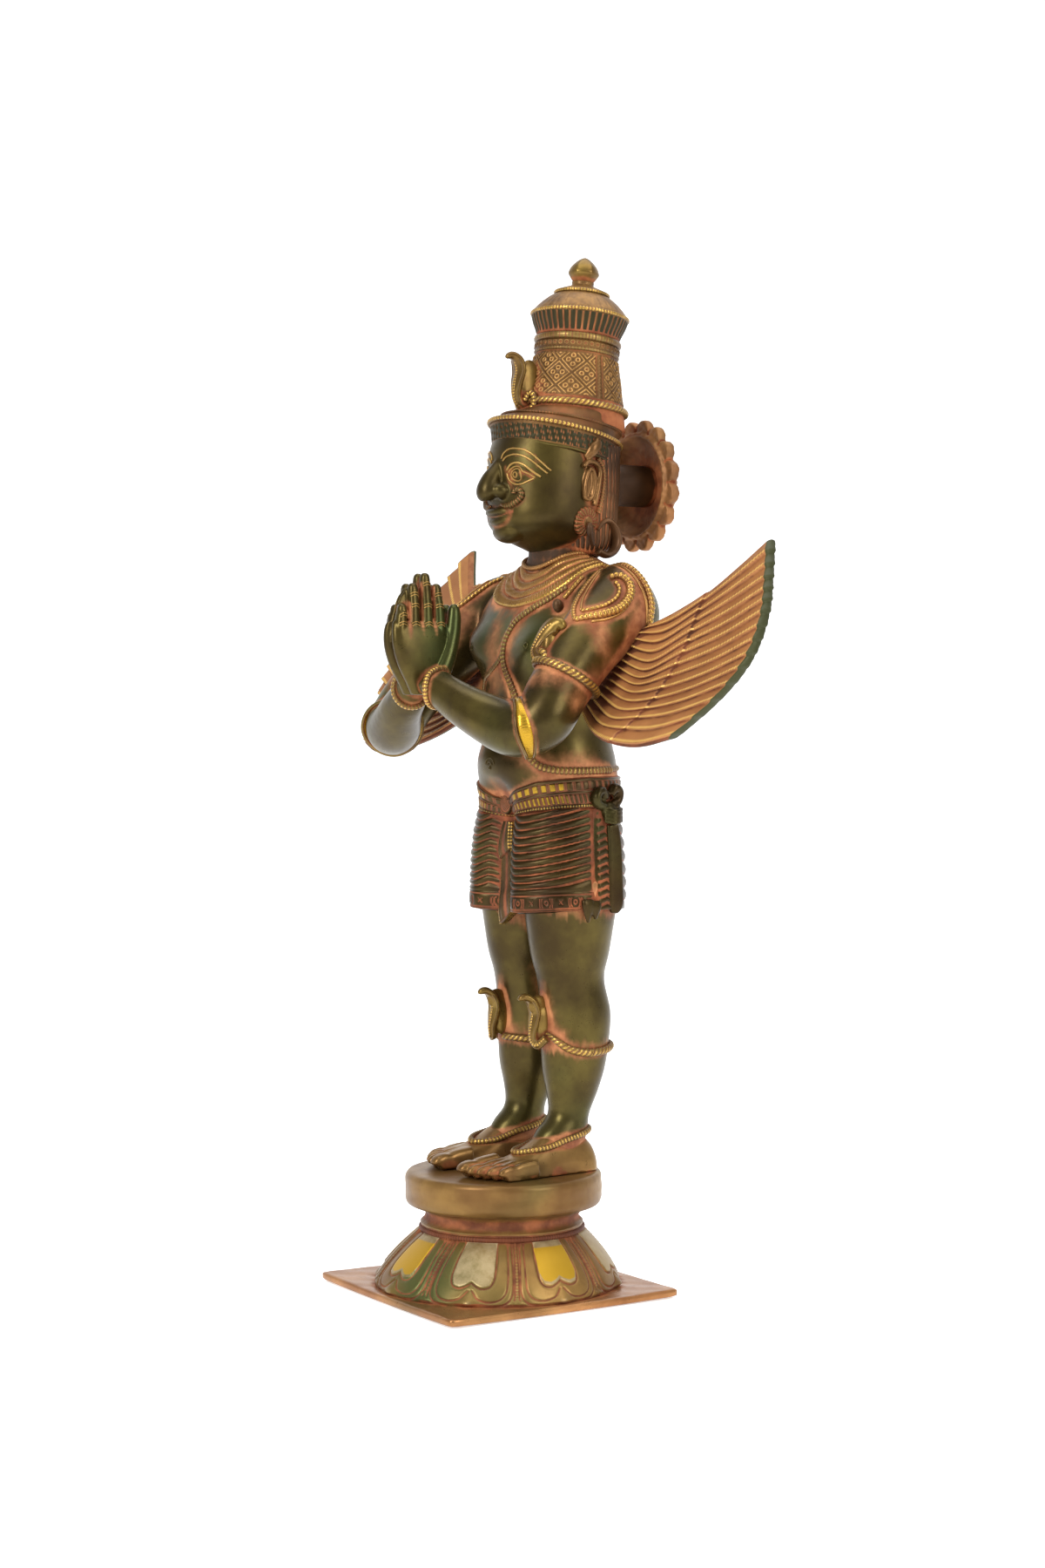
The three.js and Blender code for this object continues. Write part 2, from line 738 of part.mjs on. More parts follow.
const domeTop = plateThickness + domeHeight;
const neckBottom = domeTop + beadRingHeight;
const drumBottom = neckBottom + neckHeight;
const drumTop = drumBottom + drumHeight;

const beadRingRadius = drumRadius - beadRingInset;
const neckRadius = drumRadius - neckInset;
const drumTopRadius = drumRadius - drumTopInset;
const domeTopRadius = beadRingRadius + domeTopStep;
const domeBaseRadius = plateSide / 2 - plateMargin;

// A square plate, hammered up a little at its corners and flat under the dome.
function basePlate() {
  const half = plateSide / 2;
  const lines = [-half, plateCornerReach - half, half - plateCornerReach, half];
  const plateCells = lines.length - 1;
  const cornerDistance = half * Math.SQRT2;
  const lift = (x, y) => {
    const share = (Math.hypot(x, y) - domeBaseRadius) / (cornerDistance - domeBaseRadius);
    return plateCornerLift * Math.max(0, share) ** 1.4;
  };
  const points = [];
  const faces = [];
  const count = lines.length;
  for (const thick of [0, plateThickness]) {
    for (const y of lines) {
      for (const x of lines) points.push(new THREE.Vector3(x, y, thick + lift(x, y)));
    }
  }
  const top = count * count;
  const cell = (a, b, c, d) => faces.push(a, b, c, a, c, d);
  for (let j = 0; j < plateCells; j++) {
    for (let i = 0; i < plateCells; i++) {
      const a = j * count + i;
      cell(a, a + count, a + count + 1, a + 1);
      cell(top + a, top + a + 1, top + a + count + 1, top + a + count);
    }
  }
  for (let i = 0; i < plateCells; i++) {
    const farRow = plateCells * count;
    cell(i, i + 1, top + i + 1, top + i);
    cell(farRow + i + 1, farRow + i, top + farRow + i, top + farRow + i + 1);
    const left = i * count;
    const right = left + plateCells;
    cell(left + count, left, top + left, top + left + count);
    cell(right, right + count, top + right + count, top + right);
  }
  return solidFrom(points, faces);
}

// Across one petal, from the middle of one stamen strip to the next: place and relief.
const petalShares = [
  [0, stamenRelief], [0.1, 0], [0.28, petalRelief], [0.5, petalRelief * 0.75], [0.72, petalRelief], [0.9, 0],
];

function petalDome() {
  const rows = [0, 0.08, 0.25, 0.5, 0.78, 1];
  const sink = 0.4;
  const rings = rows.map((up) => {
    const plain = domeTopRadius + (domeBaseRadius - domeTopRadius) * (1 - up ** 1.6);
    return Array.from({ length: petalCount * petalShares.length }, (_, k) => {
      const [share, relief] = petalShares[k % petalShares.length];
      const petal = Math.floor(k / petalShares.length);
      const angle = ((petal - 0.5 + share) / petalCount) * 2 * Math.PI;
      const middle = Math.sin(Math.PI * share);
      const curl = petalTipCurl * (1 - up) ** 4 * middle ** 2;
      const round = Math.min(1, up / rows[1]) ** 0.5;
      const radius = plain - petalRelief + relief * (1 - up ** 4) * round + curl;
      const z = plateThickness - sink + (domeHeight + sink) * up;
      return new THREE.Vector3(radius * Math.cos(angle), radius * Math.sin(angle) + neckSetBack * up, z);
    });
  });
  return skinOver(rings);
}

// Radius, height and set-back of the turned part above the dome.
function plinthTop() {
  const profile = [
    [domeTopRadius - 8, domeTop - 2, neckSetBack],
    [beadRingRadius + 0.8, domeTop + beadRingHeight / 2, neckSetBack],
    [beadRingRadius - 1.4, neckBottom, neckSetBack],
    [neckRadius, neckBottom + neckHeight * 0.35, neckSetBack],
    [neckRadius + 5, drumBottom - 0.6, drumSetBack],
    [drumTopRadius - 1, drumBottom, drumSetBack],
    [drumRadius, drumBottom + drumHeight * 0.22, drumSetBack],
    [drumRadius, drumTop - drumBevel * 1.4, drumSetBack],
    [drumRadius - drumBevel * 0.4, drumTop - drumBevel * 0.5, drumSetBack],
    [drumTopRadius, drumTop, drumSetBack],
  ];
  const sides = 24;
  return skinOver(profile.map(([radius, z, back]) => Array.from({ length: sides }, (_, i) => {
    const angle = (i / sides) * 2 * Math.PI;
    return new THREE.Vector3(radius * Math.cos(angle), radius * Math.sin(angle) + back, z);
  })));
}

// The whole object

const bronze = new THREE.MeshStandardMaterial({ color: 0x6e5f38, roughness: 0.42, metalness: 0.75 });
const plinthBronze = new THREE.MeshStandardMaterial({ color: 0x7a6a42, roughness: 0.48, metalness: 0.7 });

// Pockets that are left sealed between joined forms are solid metal, so their inner skins go.
function outerSkin({ vertProperties, triVerts }) {
  const owner = Array.from({ length: vertProperties.length / 3 }, (_, i) => i);
  const find = (i) => {
    while (owner[i] !== i) i = owner[i];
    return i;
  };
  for (let t = 0; t < triVerts.length; t += 3) {
    const first = find(triVerts[t]);
    for (const other of [triVerts[t + 1], triVerts[t + 2]]) owner[find(other)] = first;
  }
  const volumes = new Map();
  const corner = (i) => new THREE.Vector3().fromArray(vertProperties, triVerts[i] * 3);
  for (let t = 0; t < triVerts.length; t += 3) {
    const skin = find(triVerts[t]);
    const part = corner(t).dot(corner(t + 1).cross(corner(t + 2)));
    volumes.set(skin, (volumes.get(skin) ?? 0) + part);
  }
  return triVerts.filter((_, i) => volumes.get(find(triVerts[i - (i % 3)])) > 0);
}

function meshOf(name, solid, material) {
  const skin = solid.getMesh();
  const geometry = new THREE.BufferGeometry();
  geometry.setAttribute('position', new THREE.BufferAttribute(skin.vertProperties, 3));
  geometry.setIndex(new THREE.BufferAttribute(outerSkin(skin), 1));
  geometry.computeVertexNormals();
  const mesh = new THREE.Mesh(geometry, material);
  mesh.name = name;
  return mesh;
}

const figureSolid = joined([
  trunk(),
  cloth(),
  ...bothSides((side) => [
    leg(side),
    foot(side),
    kneeCobra(side),
    hipKnot(side),
    shoulderStrap(side),
    shoulderDrop(side),
    arm(side),
    armCobra(side),
    ...hand(side),
    wing(side),
    ...ear(side),
  ]),
  sashEnds(),
  medallion(),
  thread(),
  stack(headLevels, bodySides),
  ...face(),
  hair(),
  cap(),
  crown(),
  ...crownCobra(),
  ...disc(),
]);
const plinthSolid = joined([basePlate(), petalDome(), plinthTop()]);

const figure = meshOf('garuda_figure', figureSolid, bronze);
figure.position.z = drumTop + footGap;
const plinth = meshOf('lotus_plinth', plinthSolid, plinthBronze);

const garuda = new THREE.Group();
garuda.add(plinth, figure);

export default garuda;
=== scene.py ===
# %% [markdown]
# This script dresses a cast bronze garuda figure on its lotus plinth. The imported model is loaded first,
# and gives the frame: millimetre sizes here are the part's own, turned to metres as each mesh is made.

# %% Load the frame
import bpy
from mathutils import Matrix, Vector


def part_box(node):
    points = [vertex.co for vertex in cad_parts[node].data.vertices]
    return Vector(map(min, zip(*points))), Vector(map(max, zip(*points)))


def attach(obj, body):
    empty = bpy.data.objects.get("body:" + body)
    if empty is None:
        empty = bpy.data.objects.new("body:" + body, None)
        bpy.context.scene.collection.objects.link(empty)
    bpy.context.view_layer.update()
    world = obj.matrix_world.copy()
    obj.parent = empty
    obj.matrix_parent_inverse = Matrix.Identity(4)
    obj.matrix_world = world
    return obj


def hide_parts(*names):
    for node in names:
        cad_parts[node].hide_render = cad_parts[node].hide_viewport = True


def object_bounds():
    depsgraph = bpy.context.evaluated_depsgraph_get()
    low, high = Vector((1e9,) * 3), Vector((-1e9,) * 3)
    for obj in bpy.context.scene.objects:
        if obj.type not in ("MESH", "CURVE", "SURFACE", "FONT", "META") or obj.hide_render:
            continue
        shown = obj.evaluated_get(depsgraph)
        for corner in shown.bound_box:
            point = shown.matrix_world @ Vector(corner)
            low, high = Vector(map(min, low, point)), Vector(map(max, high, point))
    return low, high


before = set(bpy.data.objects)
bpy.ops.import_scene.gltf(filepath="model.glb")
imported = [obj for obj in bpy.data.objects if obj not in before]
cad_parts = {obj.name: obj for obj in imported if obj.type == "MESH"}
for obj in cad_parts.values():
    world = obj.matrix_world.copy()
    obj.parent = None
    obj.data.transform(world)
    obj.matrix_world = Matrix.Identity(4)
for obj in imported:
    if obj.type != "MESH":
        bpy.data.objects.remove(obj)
cad_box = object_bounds()
print("box of the packed model", [tuple(round(v, 4) for v in corner) for corner in cad_box])

# %% [markdown]
# A cast figure is one skin with many small forms on it. The skin is built from closed forms that a voxel
# remesh fuses, as wax is pressed together, and ropes, bands and beads are laid on that skin afterwards.
# Primitives alone can't give the carved sections, so rings of points are skinned in code, and Blender's
# own tools then join, fuse, smooth and finish them.

# %% Names and units
import math

import bpy
import numpy as np
from mathutils import Vector
from mathutils.bvhtree import BVHTree
from mathutils.kdtree import KDTree

mm = 0.001
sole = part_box("garuda_figure")[0].z / mm
full_turn = 2 * math.pi
upward = (0, 0, 1)
sideways = (1, 0, 0)
pieces = []


def sided(word, side):
    """A piece's name with the figure's own side before it."""
    return ("left_" if side > 0 else "right_") + word


print("the soles stand at", round(sole, 2), "mm")


# %% [markdown]
# Two curves do most of the work: a smooth line through a few places, and an oval that can be squarer.

# %% Smooth lines and ovals
def through(places, at, loop=False):
    """A smooth curve through places, at 0 for the first one, 1 for the second and so on."""
    p = np.asarray(places, float)
    if loop:
        padded = np.concatenate([p[-1:], p, p[:2]])
    else:
        padded = np.concatenate([2 * p[:1] - p[1:2], p, 2 * p[-1:] - p[-2:-1]])
    at = np.asarray(at, float)
    k = np.clip(np.floor(at).astype(int), 0, len(padded) - 4)
    t = (at - k).reshape([-1] + [1] * (p.ndim - 1))
    a, b, c, d = (padded[k + n] for n in range(4))
    return 0.5 * (2 * b + (c - a) * t + (2 * a - 5 * b + 4 * c - d) * t**2 + (3 * b - a - 3 * c + d) * t**3)


def smooth_line(places, count, loop=False):
    """count places, evenly spaced along a smooth curve through the given ones."""
    spans = len(places) if loop else len(places) - 1
    fine = through(places, np.linspace(0, spans, spans * 24 + 1), loop)
    steps = np.linalg.norm(np.diff(fine[:, :3], axis=0), axis=1)
    along = np.concatenate([[0], np.cumsum(steps)])
    at = np.linspace(0, along[-1], count, endpoint=not loop)
    return np.stack([np.interp(at, along, fine[:, k]) for k in range(fine.shape[1])], 1)


def length_of(line):
    """The length of a line of places."""
    return float(np.linalg.norm(np.diff(line[:, :3], axis=0), axis=1).sum())


def oval(angle, half_side, half_front, power=2.0):
    """Points of an oval; a power over 2 makes it squarer."""
    c, s = np.cos(angle), np.sin(angle)
    bend = 2 / power
    return half_side * np.sign(c) * np.abs(c) ** bend, half_front * np.sign(s) * np.abs(s) ** bend


def around(count):
    """Angles evenly spaced round a full turn."""
    return np.linspace(0, full_turn, count, endpoint=False)


def soft_step(low, high, values):
    """0 up to low, 1 from high, and a soft rise between."""
    share = np.clip((values - low) / (high - low), 0, 1)
    return share * share * (3 - 2 * share)


def within(values, start, full, fading, end):
    """1 from full to fading, and 0 before start and after end."""
    return soft_step(start, full, values) * (1 - soft_step(fading, end, values))


def from_front(angle):
    """How far round from the front each angle lies, either way."""
    return np.abs((angle + math.pi / 2 + math.pi) % full_turn - math.pi)


# %% [markdown]
# Every carved surface is a net of points: rows along it and columns round it. One helper turns a net into
# a mesh, closes its ends, and turns its faces outwards.

# %% Nets of points become meshes
def only(*objects):
    """Selects these objects and no others; the first is the active one."""
    bpy.ops.object.select_all(action="DESELECT")
    for one in objects:
        one.select_set(True)
    bpy.context.view_layer.objects.active = objects[0]


def net(name, rows, loop_rows=False, loop_columns=True, ends=True, **marks):
    """A mesh over rows of points in millimetres. marks are values per point, kept as attributes."""
    rows = np.asarray(rows, float)
    n_rows, n_columns = rows.shape[:2]
    index = np.arange(n_rows * n_columns).reshape(n_rows, n_columns)
    here, there = (index, np.roll(index, -1, 0)) if loop_rows else (index[:-1], index[1:])
    if loop_columns:
        quads = [here, np.roll(here, -1, 1), np.roll(there, -1, 1), there]
    else:
        quads = [here[:, :-1], here[:, 1:], there[:, 1:], there[:, :-1]]
    faces = np.stack(quads, -1).reshape(-1, 4)
    points = rows.reshape(-1, 3)
    corner = points[faces]
    middle = corner.mean(1)
    normal = np.cross(corner[:, 2] - corner[:, 0], corner[:, 3] - corner[:, 1])
    inside_out = (normal * (middle - middle.mean(0))).sum() < 0
    faces = (faces[:, ::-1] if inside_out else faces).tolist()
    if ends and loop_columns and not loop_rows:
        first, last = index[0].tolist()[::-1], index[-1].tolist()
        faces += [first[::-1], last[::-1]] if inside_out else [first, last]
    mesh = bpy.data.meshes.new(name)
    mesh.from_pydata((points * mm).tolist(), [], faces)
    made = bpy.data.objects.new(name, mesh)
    bpy.context.collection.objects.link(made)
    for mark, values in marks.items():
        put_mark(made, mark, np.broadcast_to(values, rows.shape[:2]).reshape(-1))
    return made


def level_net(name, x, y, z, **marks):
    """A net whose rows lie level, with z from the soles."""
    return net(name, np.stack([x, y, np.broadcast_to(z + sole, x.shape)], -1), **marks)


def put_mark(piece, mark, values):
    """Keeps one number for each point of a piece, for the finishes to read."""
    layer = piece.data.attributes.get(mark) or piece.data.attributes.new(mark, "FLOAT", "POINT")
    layer.data.foreach_set("value", np.ascontiguousarray(values, np.float32))


def points_of(piece):
    """The points of a piece in millimetres."""
    flat = np.zeros(len(piece.data.vertices) * 3, np.float32)
    piece.data.vertices.foreach_get("co", flat)
    return flat.reshape(-1, 3).astype(float) / mm


def finish_with(piece, kind, **settings):
    """Adds one modifier and applies it."""
    only(piece)
    bpy.ops.object.modifier_add(type=kind)
    step = piece.modifiers[-1]
    for key, value in settings.items():
        setattr(step, key, value)
    bpy.ops.object.modifier_apply(modifier=step.name)


def fused(name, forms, voxel, rounds):
    """Closed forms become one skin: joined, remeshed in voxels of that size, and smoothed."""
    only(*forms)
    bpy.ops.object.join()
    skin = bpy.context.active_object
    skin.name = name
    finish_with(skin, "REMESH", mode="VOXEL", voxel_size=voxel * mm)
    finish_with(skin, "SMOOTH", factor=0.5, iterations=rounds)
    return skin


def keep(piece, finish, crease=None):
    """Notes a finished piece and the finish that it takes. Edges over the crease angle stay sharp."""
    only(piece)
    if crease:
        bpy.ops.object.shade_smooth_by_angle(angle=math.radians(crease))
    else:
        bpy.ops.object.shade_smooth()
    pieces.append((piece, finish))
    print(piece.name, len(piece.data.polygons), "faces")
    return piece


def seen_from(skin):
    """A tree of the skin's faces, to lay ornament on it."""
    mesh = skin.data
    return BVHTree.FromPolygons([v.co / mm for v in mesh.vertices],
                                [tuple(p.vertices) for p in mesh.polygons])


# %% [markdown]
# Tubes make limbs, toes and fingers; twisted ropes, bead strings and plain cords make the ornament. A
# rope is a tube whose section has a few lobes that turn as it runs, and the grooves between them hold
# patina.

# %% Tubes and ropes
def frames_along(line, front, loop=False):
    """Across and outward directions at each place of a line."""
    if loop:
        along = np.roll(line, -1, 0) - np.roll(line, 1, 0)
    else:
        along = np.gradient(line, axis=0)
    along /= np.maximum(np.linalg.norm(along, axis=1, keepdims=True), 1e-9)
    across = np.cross(along, front)
    across /= np.maximum(np.linalg.norm(across, axis=1, keepdims=True), 1e-9)
    return across, np.cross(across, along)


def limb(name, stations, front=(0, -1, 0), side=1, rows=40, columns=32, power=2.0):
    """A tube through stations [x, y, z, half across, half out], with z from the soles."""
    line = smooth_line(stations, rows)
    place = line[:, :3] * [side, 1, 1] + [0, 0, sole]
    across, out = frames_along(place, np.array(front, float) * [side, 1, 1])
    angle = around(columns)
    a, b = oval(angle[None, :], line[:, 3:4], line[:, 4:5], power)
    return net(name, place[:, None] + across[:, None] * a[..., None] + out[:, None] * b[..., None])


def ball(name, centre, halves, side=1, turn=0.0):
    """An egg-shaped form, turned about X."""
    bpy.ops.mesh.primitive_uv_sphere_add(segments=32, ring_count=20, radius=mm, location=(0, 0, 0))
    egg = bpy.context.active_object
    egg.name = name
    egg.scale = halves
    egg.rotation_euler = (math.radians(turn), 0, 0)
    egg.location = (centre[0] * side * mm, centre[1] * mm, (centre[2] + sole) * mm)
    bpy.ops.object.transform_apply(location=True, rotation=True, scale=True)
    return egg


def rope(name, places, normals, half, high=None, pitch=2.2, lobes=0, depth=0.2, columns=12, step=0.5,
         loop=False, beads=0.0, gold=1.0, taper=None, gilt=0.0):
    """A cord along places in millimetres. lobes turn as it runs; beads makes it swell once each pitch."""
    high = high or half
    joined = np.hstack([places, normals])
    run = length_of(np.vstack([places, places[:1]]) if loop else np.asarray(places))
    count = max(8, int(run / step))
    line = smooth_line(joined, count, loop)
    place, normal = line[:, :3], line[:, 3:6]
    across, out = frames_along(place, normal, loop)
    run = length_of(np.vstack([place, place[:1]]) if loop else place)
    turns = max(1, round(run / pitch))
    phase = np.linspace(0, full_turn * turns, count, endpoint=not loop)[:, None]
    angle = around(columns)[None, :]
    shape = np.ones((count, columns))
    if beads:
        shape *= 1 - beads * (1 - np.abs(np.sin(phase / 2)) ** 0.8)
    if lobes:
        shape *= 1 - depth * (1 - np.abs(np.cos((lobes * angle - phase) / 2)))
    swell = shape
    if taper is not None:
        share = np.linspace(0, 1, count)
        swell = shape * np.interp(share, np.linspace(0, 1, len(taper)), taper)[:, None]
    a = half * swell * np.cos(angle)
    b = high * swell * np.sin(angle)
    rows = place[:, None] + across[:, None] * a[..., None] + out[:, None] * b[..., None]
    low = min(shape.min(), 0.999)
    level = (shape - low) / (1 - low)
    ridge = np.clip(np.sin(angle), 0, 1) * gold * level
    groove = np.clip(1 - level * 1.3, 0, 1) + np.clip(0.2 - np.sin(angle), 0, 1) * 0.6
    return net(name, rows, loop_rows=loop, ridge=ridge, groove=np.clip(groove, 0, 1), gilt=gilt)


def wave(phase):
    """A row of soft bumps, from 0 to 1, one for each turn of the phase."""
    return 0.5 + 0.5 * np.cos(phase)


def groove_at(distance, half):
    """1 on a cut line, falling to 0 a little beyond half its width."""
    return np.exp(-((distance / half) ** 2))


def distance_to(line, x, y):
    """How far each point of a flat drawing is from a line of places."""
    gap = np.full(np.broadcast(x, y).shape, 1e9)
    for a, b in zip(line[:-1], line[1:]):
        run = b - a
        share = np.clip(((x - a[0]) * run[0] + (y - a[1]) * run[1]) / (run @ run + 1e-9), 0, 1)
        gap = np.minimum(gap, np.hypot(x - a[0] - share * run[0], y - a[1] - share * run[1]))
    return gap


def joined_as(name, parts):
    """Separate forms as one piece."""
    only(*parts)
    bpy.ops.object.join()
    made = bpy.context.active_object
    made.name = name
    return made


def laid_on(tree, places, direction=None, lift=0.0):
    """Places moved onto the skin, along a direction or to the nearest point, and their normals."""
    found, normals = [], []
    for place in places:
        hit = None
        if direction is not None:
            start = Vector(place) - Vector(direction) * 80
            hit = tree.ray_cast(start, Vector(direction))
        if hit is None or hit[0] is None:
            hit = tree.find_nearest(Vector(place))
        normal = np.array(hit[1])
        found.append(np.array(hit[0]) + normal * lift)
        normals.append(normal)
    return np.array(found), np.array(normals)


# %% [markdown]
# The camera stands at the left front of the figure, a little above the middle of its height, as in the
# photograph, and looks down by just over a degree.

# %% Camera
camera_place = (1.3309, -0.8139, 0.334)
camera_dip = 1.33
camera_turn = math.radians(58)
camera_data = bpy.data.cameras.new("camera")
camera = bpy.data.objects.new("camera", camera_data)
bpy.context.collection.objects.link(camera)
camera_data.sensor_width = 36
camera_data.lens = 61
camera_data.clip_start = 0.05
camera.location = camera_place
camera.rotation_euler = (math.radians(90 - camera_dip), 0, camera_turn)
bpy.context.scene.camera = camera


# %% [markdown]
# The trunk is one closed form from the hips to the neck. Each level gives a height from the soles, the
# centre's set-back, half the width, half the depth and how square the section is. The two swells of the
# chest are added to it, because one oval has none.

# %% Trunk
trunk_levels = np.array([
    [170, 38, 41, 26, 2.2], [196, 38, 44, 31, 2.2], [207, 37, 47, 36, 2.1], [220, 36, 46.6, 37.6, 2.0],
    [230, 35.5, 46, 39.4, 2.0], [241, 34.5, 44.5, 39.5, 2.0], [257, 35, 43, 35.5, 2.0],
    [280, 37, 47, 34.5, 2.1], [303, 39, 53, 35.5, 2.2], [320, 42, 60, 34, 2.4], [335, 46, 63, 31.5, 2.5],
    [347, 49, 57, 26, 2.3], [354, 48.5, 42, 22, 2.0], [360, 46, 25, 19.5, 2.0], [366, 44, 19, 18.5, 2.0],
    [384, 42, 18, 18, 2.0],
])
fine_levels = smooth_line(trunk_levels, 400)
fine_levels = fine_levels[np.argsort(fine_levels[:, 0])]
chest_height = 309
chest_rise = 9
chest_reach = 13
chest_turn = 0.42
chest_width = 0.28
dip_heights = [170, 206, 216, 225, 233]
dip_depths = [14, 12, 9, 5.5, 0]
dip_width = 14


def trunk_point(angle, z, swell=0.0):
    """Points of the trunk's skin, swelled outwards, for arrays of angle and height."""
    z = np.asarray(z, float) + 0 * angle
    y, half_x, half_y, power = (np.interp(z, fine_levels[:, 0], fine_levels[:, k]) for k in (1, 2, 3, 4))
    dx, dy = oval(angle, half_x + swell, half_y + swell, power)
    turn = from_front(angle) / (math.pi / 2)
    off_middle = (turn - chest_turn) / chest_width
    chest = chest_rise * np.exp(-off_middle ** 2 - ((z - chest_height) / chest_reach) ** 2)
    dip = np.interp(z, dip_heights, dip_depths) * np.exp(-((dx / dip_width) ** 2)) * (np.sin(angle) < 0)
    return np.stack([dx, y + dy - chest + dip, z + sole], -1)


def trunk():
    z = np.linspace(172, 384, 120)[:, None]
    return net("trunk_form", trunk_point(around(96)[None, :], z))


# %% [markdown]
# Arms and legs are tubes through stations. The arm bends at the elbow and thins to the wrist; the leg
# swells at thigh, knee and calf. The trunk and limbs are fused into one skin, and a few rounds of
# smoothing soften the places where they meet.

# %% Limbs fused with the trunk
arm_stations = [
    [55, 56, 334, 22, 14], [66, 45, 330, 24, 18], [72, 25, 316, 21, 19], [76, 8, 300, 19, 18.4],
    [81, -10, 280, 17.6, 17.6], [83, -20, 266, 17, 17], [76, -27.5, 260, 16.4, 16.4],
    [63, -33, 261, 15.6, 15.6], [40, -42, 270.5, 12.8, 12.8], [21, -46.8, 279.8, 10.8, 10.8],
    [10, -50, 288, 10.6, 7],
]
leg_levels = [
    [12, 25, 12, 18], [24, 30, 12, 16.5], [33, 34.5, 11.3, 12.8], [45, 37, 13.5, 15.5], [59, 38, 17, 19],
    [75, 39, 18.5, 20.8], [93, 39.5, 19, 21.5], [113, 36, 18.5, 20.5], [130, 35.5, 21.5, 24.5],
    [172, 36, 27, 31],
]
leg_spread = 24


def leg(side):
    levels = smooth_line(leg_levels, 110)
    angle = around(48)[None, :]
    x, y = oval(angle, levels[:, 2:3], levels[:, 3:4])
    return level_net("leg_form", x + side * leg_spread, y + levels[:, 1:2], levels[:, 0:1])


limbs = [limb("arm_form", arm_stations, front=(1, 0, 0.3), side=side, rows=90) for side in (1, -1)]
blades = [ball("shoulder_form", (46, 60, 322), (22, 15, 28), side) for side in (1, -1)]
body = fused("body_skin", [trunk(), *limbs, *blades, leg(1), leg(-1)], 1.7, 9)
body_tree = seen_from(body)
keep(body, "skin")


# %% [markdown]
# Each foot is a wedge with a flat sole, and five square-ended toes. At a fine voxel the gaps between the
# toes stay open as grooves.

# %% Feet
foot_length = 83
heel = 50
toe_edges = [-1, -0.38, -0.04, 0.3, 0.64, 1]
toe_tips = [0, 1.5, 4, 7.5, 12]
foot_half = 16.6
toes_outward = 2.4
toe_gap = 0.55
big_toe = 1.12
foot_levels = [
    [0, 8, 11], [0.05, 11, 17], [0.14, 12.8, 22], [0.3, 13.4, 25], [0.42, 13.9, 22], [0.52, 14.6, 17],
    [0.62, 15.6, 12.8], [0.72, 16.3, 10.2], [0.82, 16.6, 8.6],
]
# A toe's levels: how far behind its tip, how high, and its share of the toe's width.
toe_levels = [
    [24, 5.6, 1.0], [14, 5.0, 1.0], [9, 4.3, 0.98], [5.5, 4.4, 1.0], [2, 4.0, 0.98], [0.5, 3.4, 0.86],
    [0, 2.6, 0.6],
]


def foot(side):
    """The wedge of a foot and its five toes."""
    levels = smooth_line(foot_levels, 60)
    across = np.linspace(-1, 1, 40)[None, :]
    share, half, high = (levels[:, k:k + 1] for k in range(3))
    top = 0.15 + high * (1 - np.abs(across) ** 2.8) ** 0.6
    x = side * (leg_spread + 3 * share + across * half)
    y = heel - foot_length * share + 0 * across
    upper = np.stack([x, y, top + sole], -1)
    lower = np.stack([x[:, ::-1], y, np.full_like(x, sole)], -1)
    forms = [net("foot_form", np.concatenate([upper, lower], 1))]
    for n, tip in enumerate(toe_tips):
        middle = (toe_edges[n] + toe_edges[n + 1]) / 2
        half = (toe_edges[n + 1] - toe_edges[n]) / 2 * foot_half - toe_gap
        end = heel - foot_length + tip
        larger = big_toe if n == 0 else 1
        across = leg_spread + toes_outward + middle * foot_half
        line = [
            [across, end + back, high * larger, half * width, high * 0.98 * larger]
            for back, high, width in toe_levels
        ]
        forms.append(limb("toe_form", line, front=upward, side=side, rows=50, columns=28, power=3.2))
    return forms


feet = fused("feet_skin", foot(1) + foot(-1), 0.9, 2)
finish_with(feet, "LAPLACIANSMOOTH", iterations=2, lambda_factor=0.25)
keep(feet, "foot")


# %% [markdown]
# The hands lie flat against each other. Each is a palm, four fingers that part a little, and a thumb on
# the side of the chest. A thin web behind the fingers closes the gaps, as in the casting.

# %% Hands
finger_roots = [-67.6, -58.9, -50.2, -42]
finger_tips = [(-66, 331), (-59, 343), (-51, 349), (-43.5, 343)]
palm_levels = [
    [279, -50.5, 8.8, 9.5], [286, -51.5, 8.8, 12], [296, -53, 9.6, 16], [306, -54, 9.8, 18.2],
    [314, -54.6, 9.4, 18.2], [319, -54.8, 8.0, 17.4], [321, -54.8, 6.0, 16.6],
]


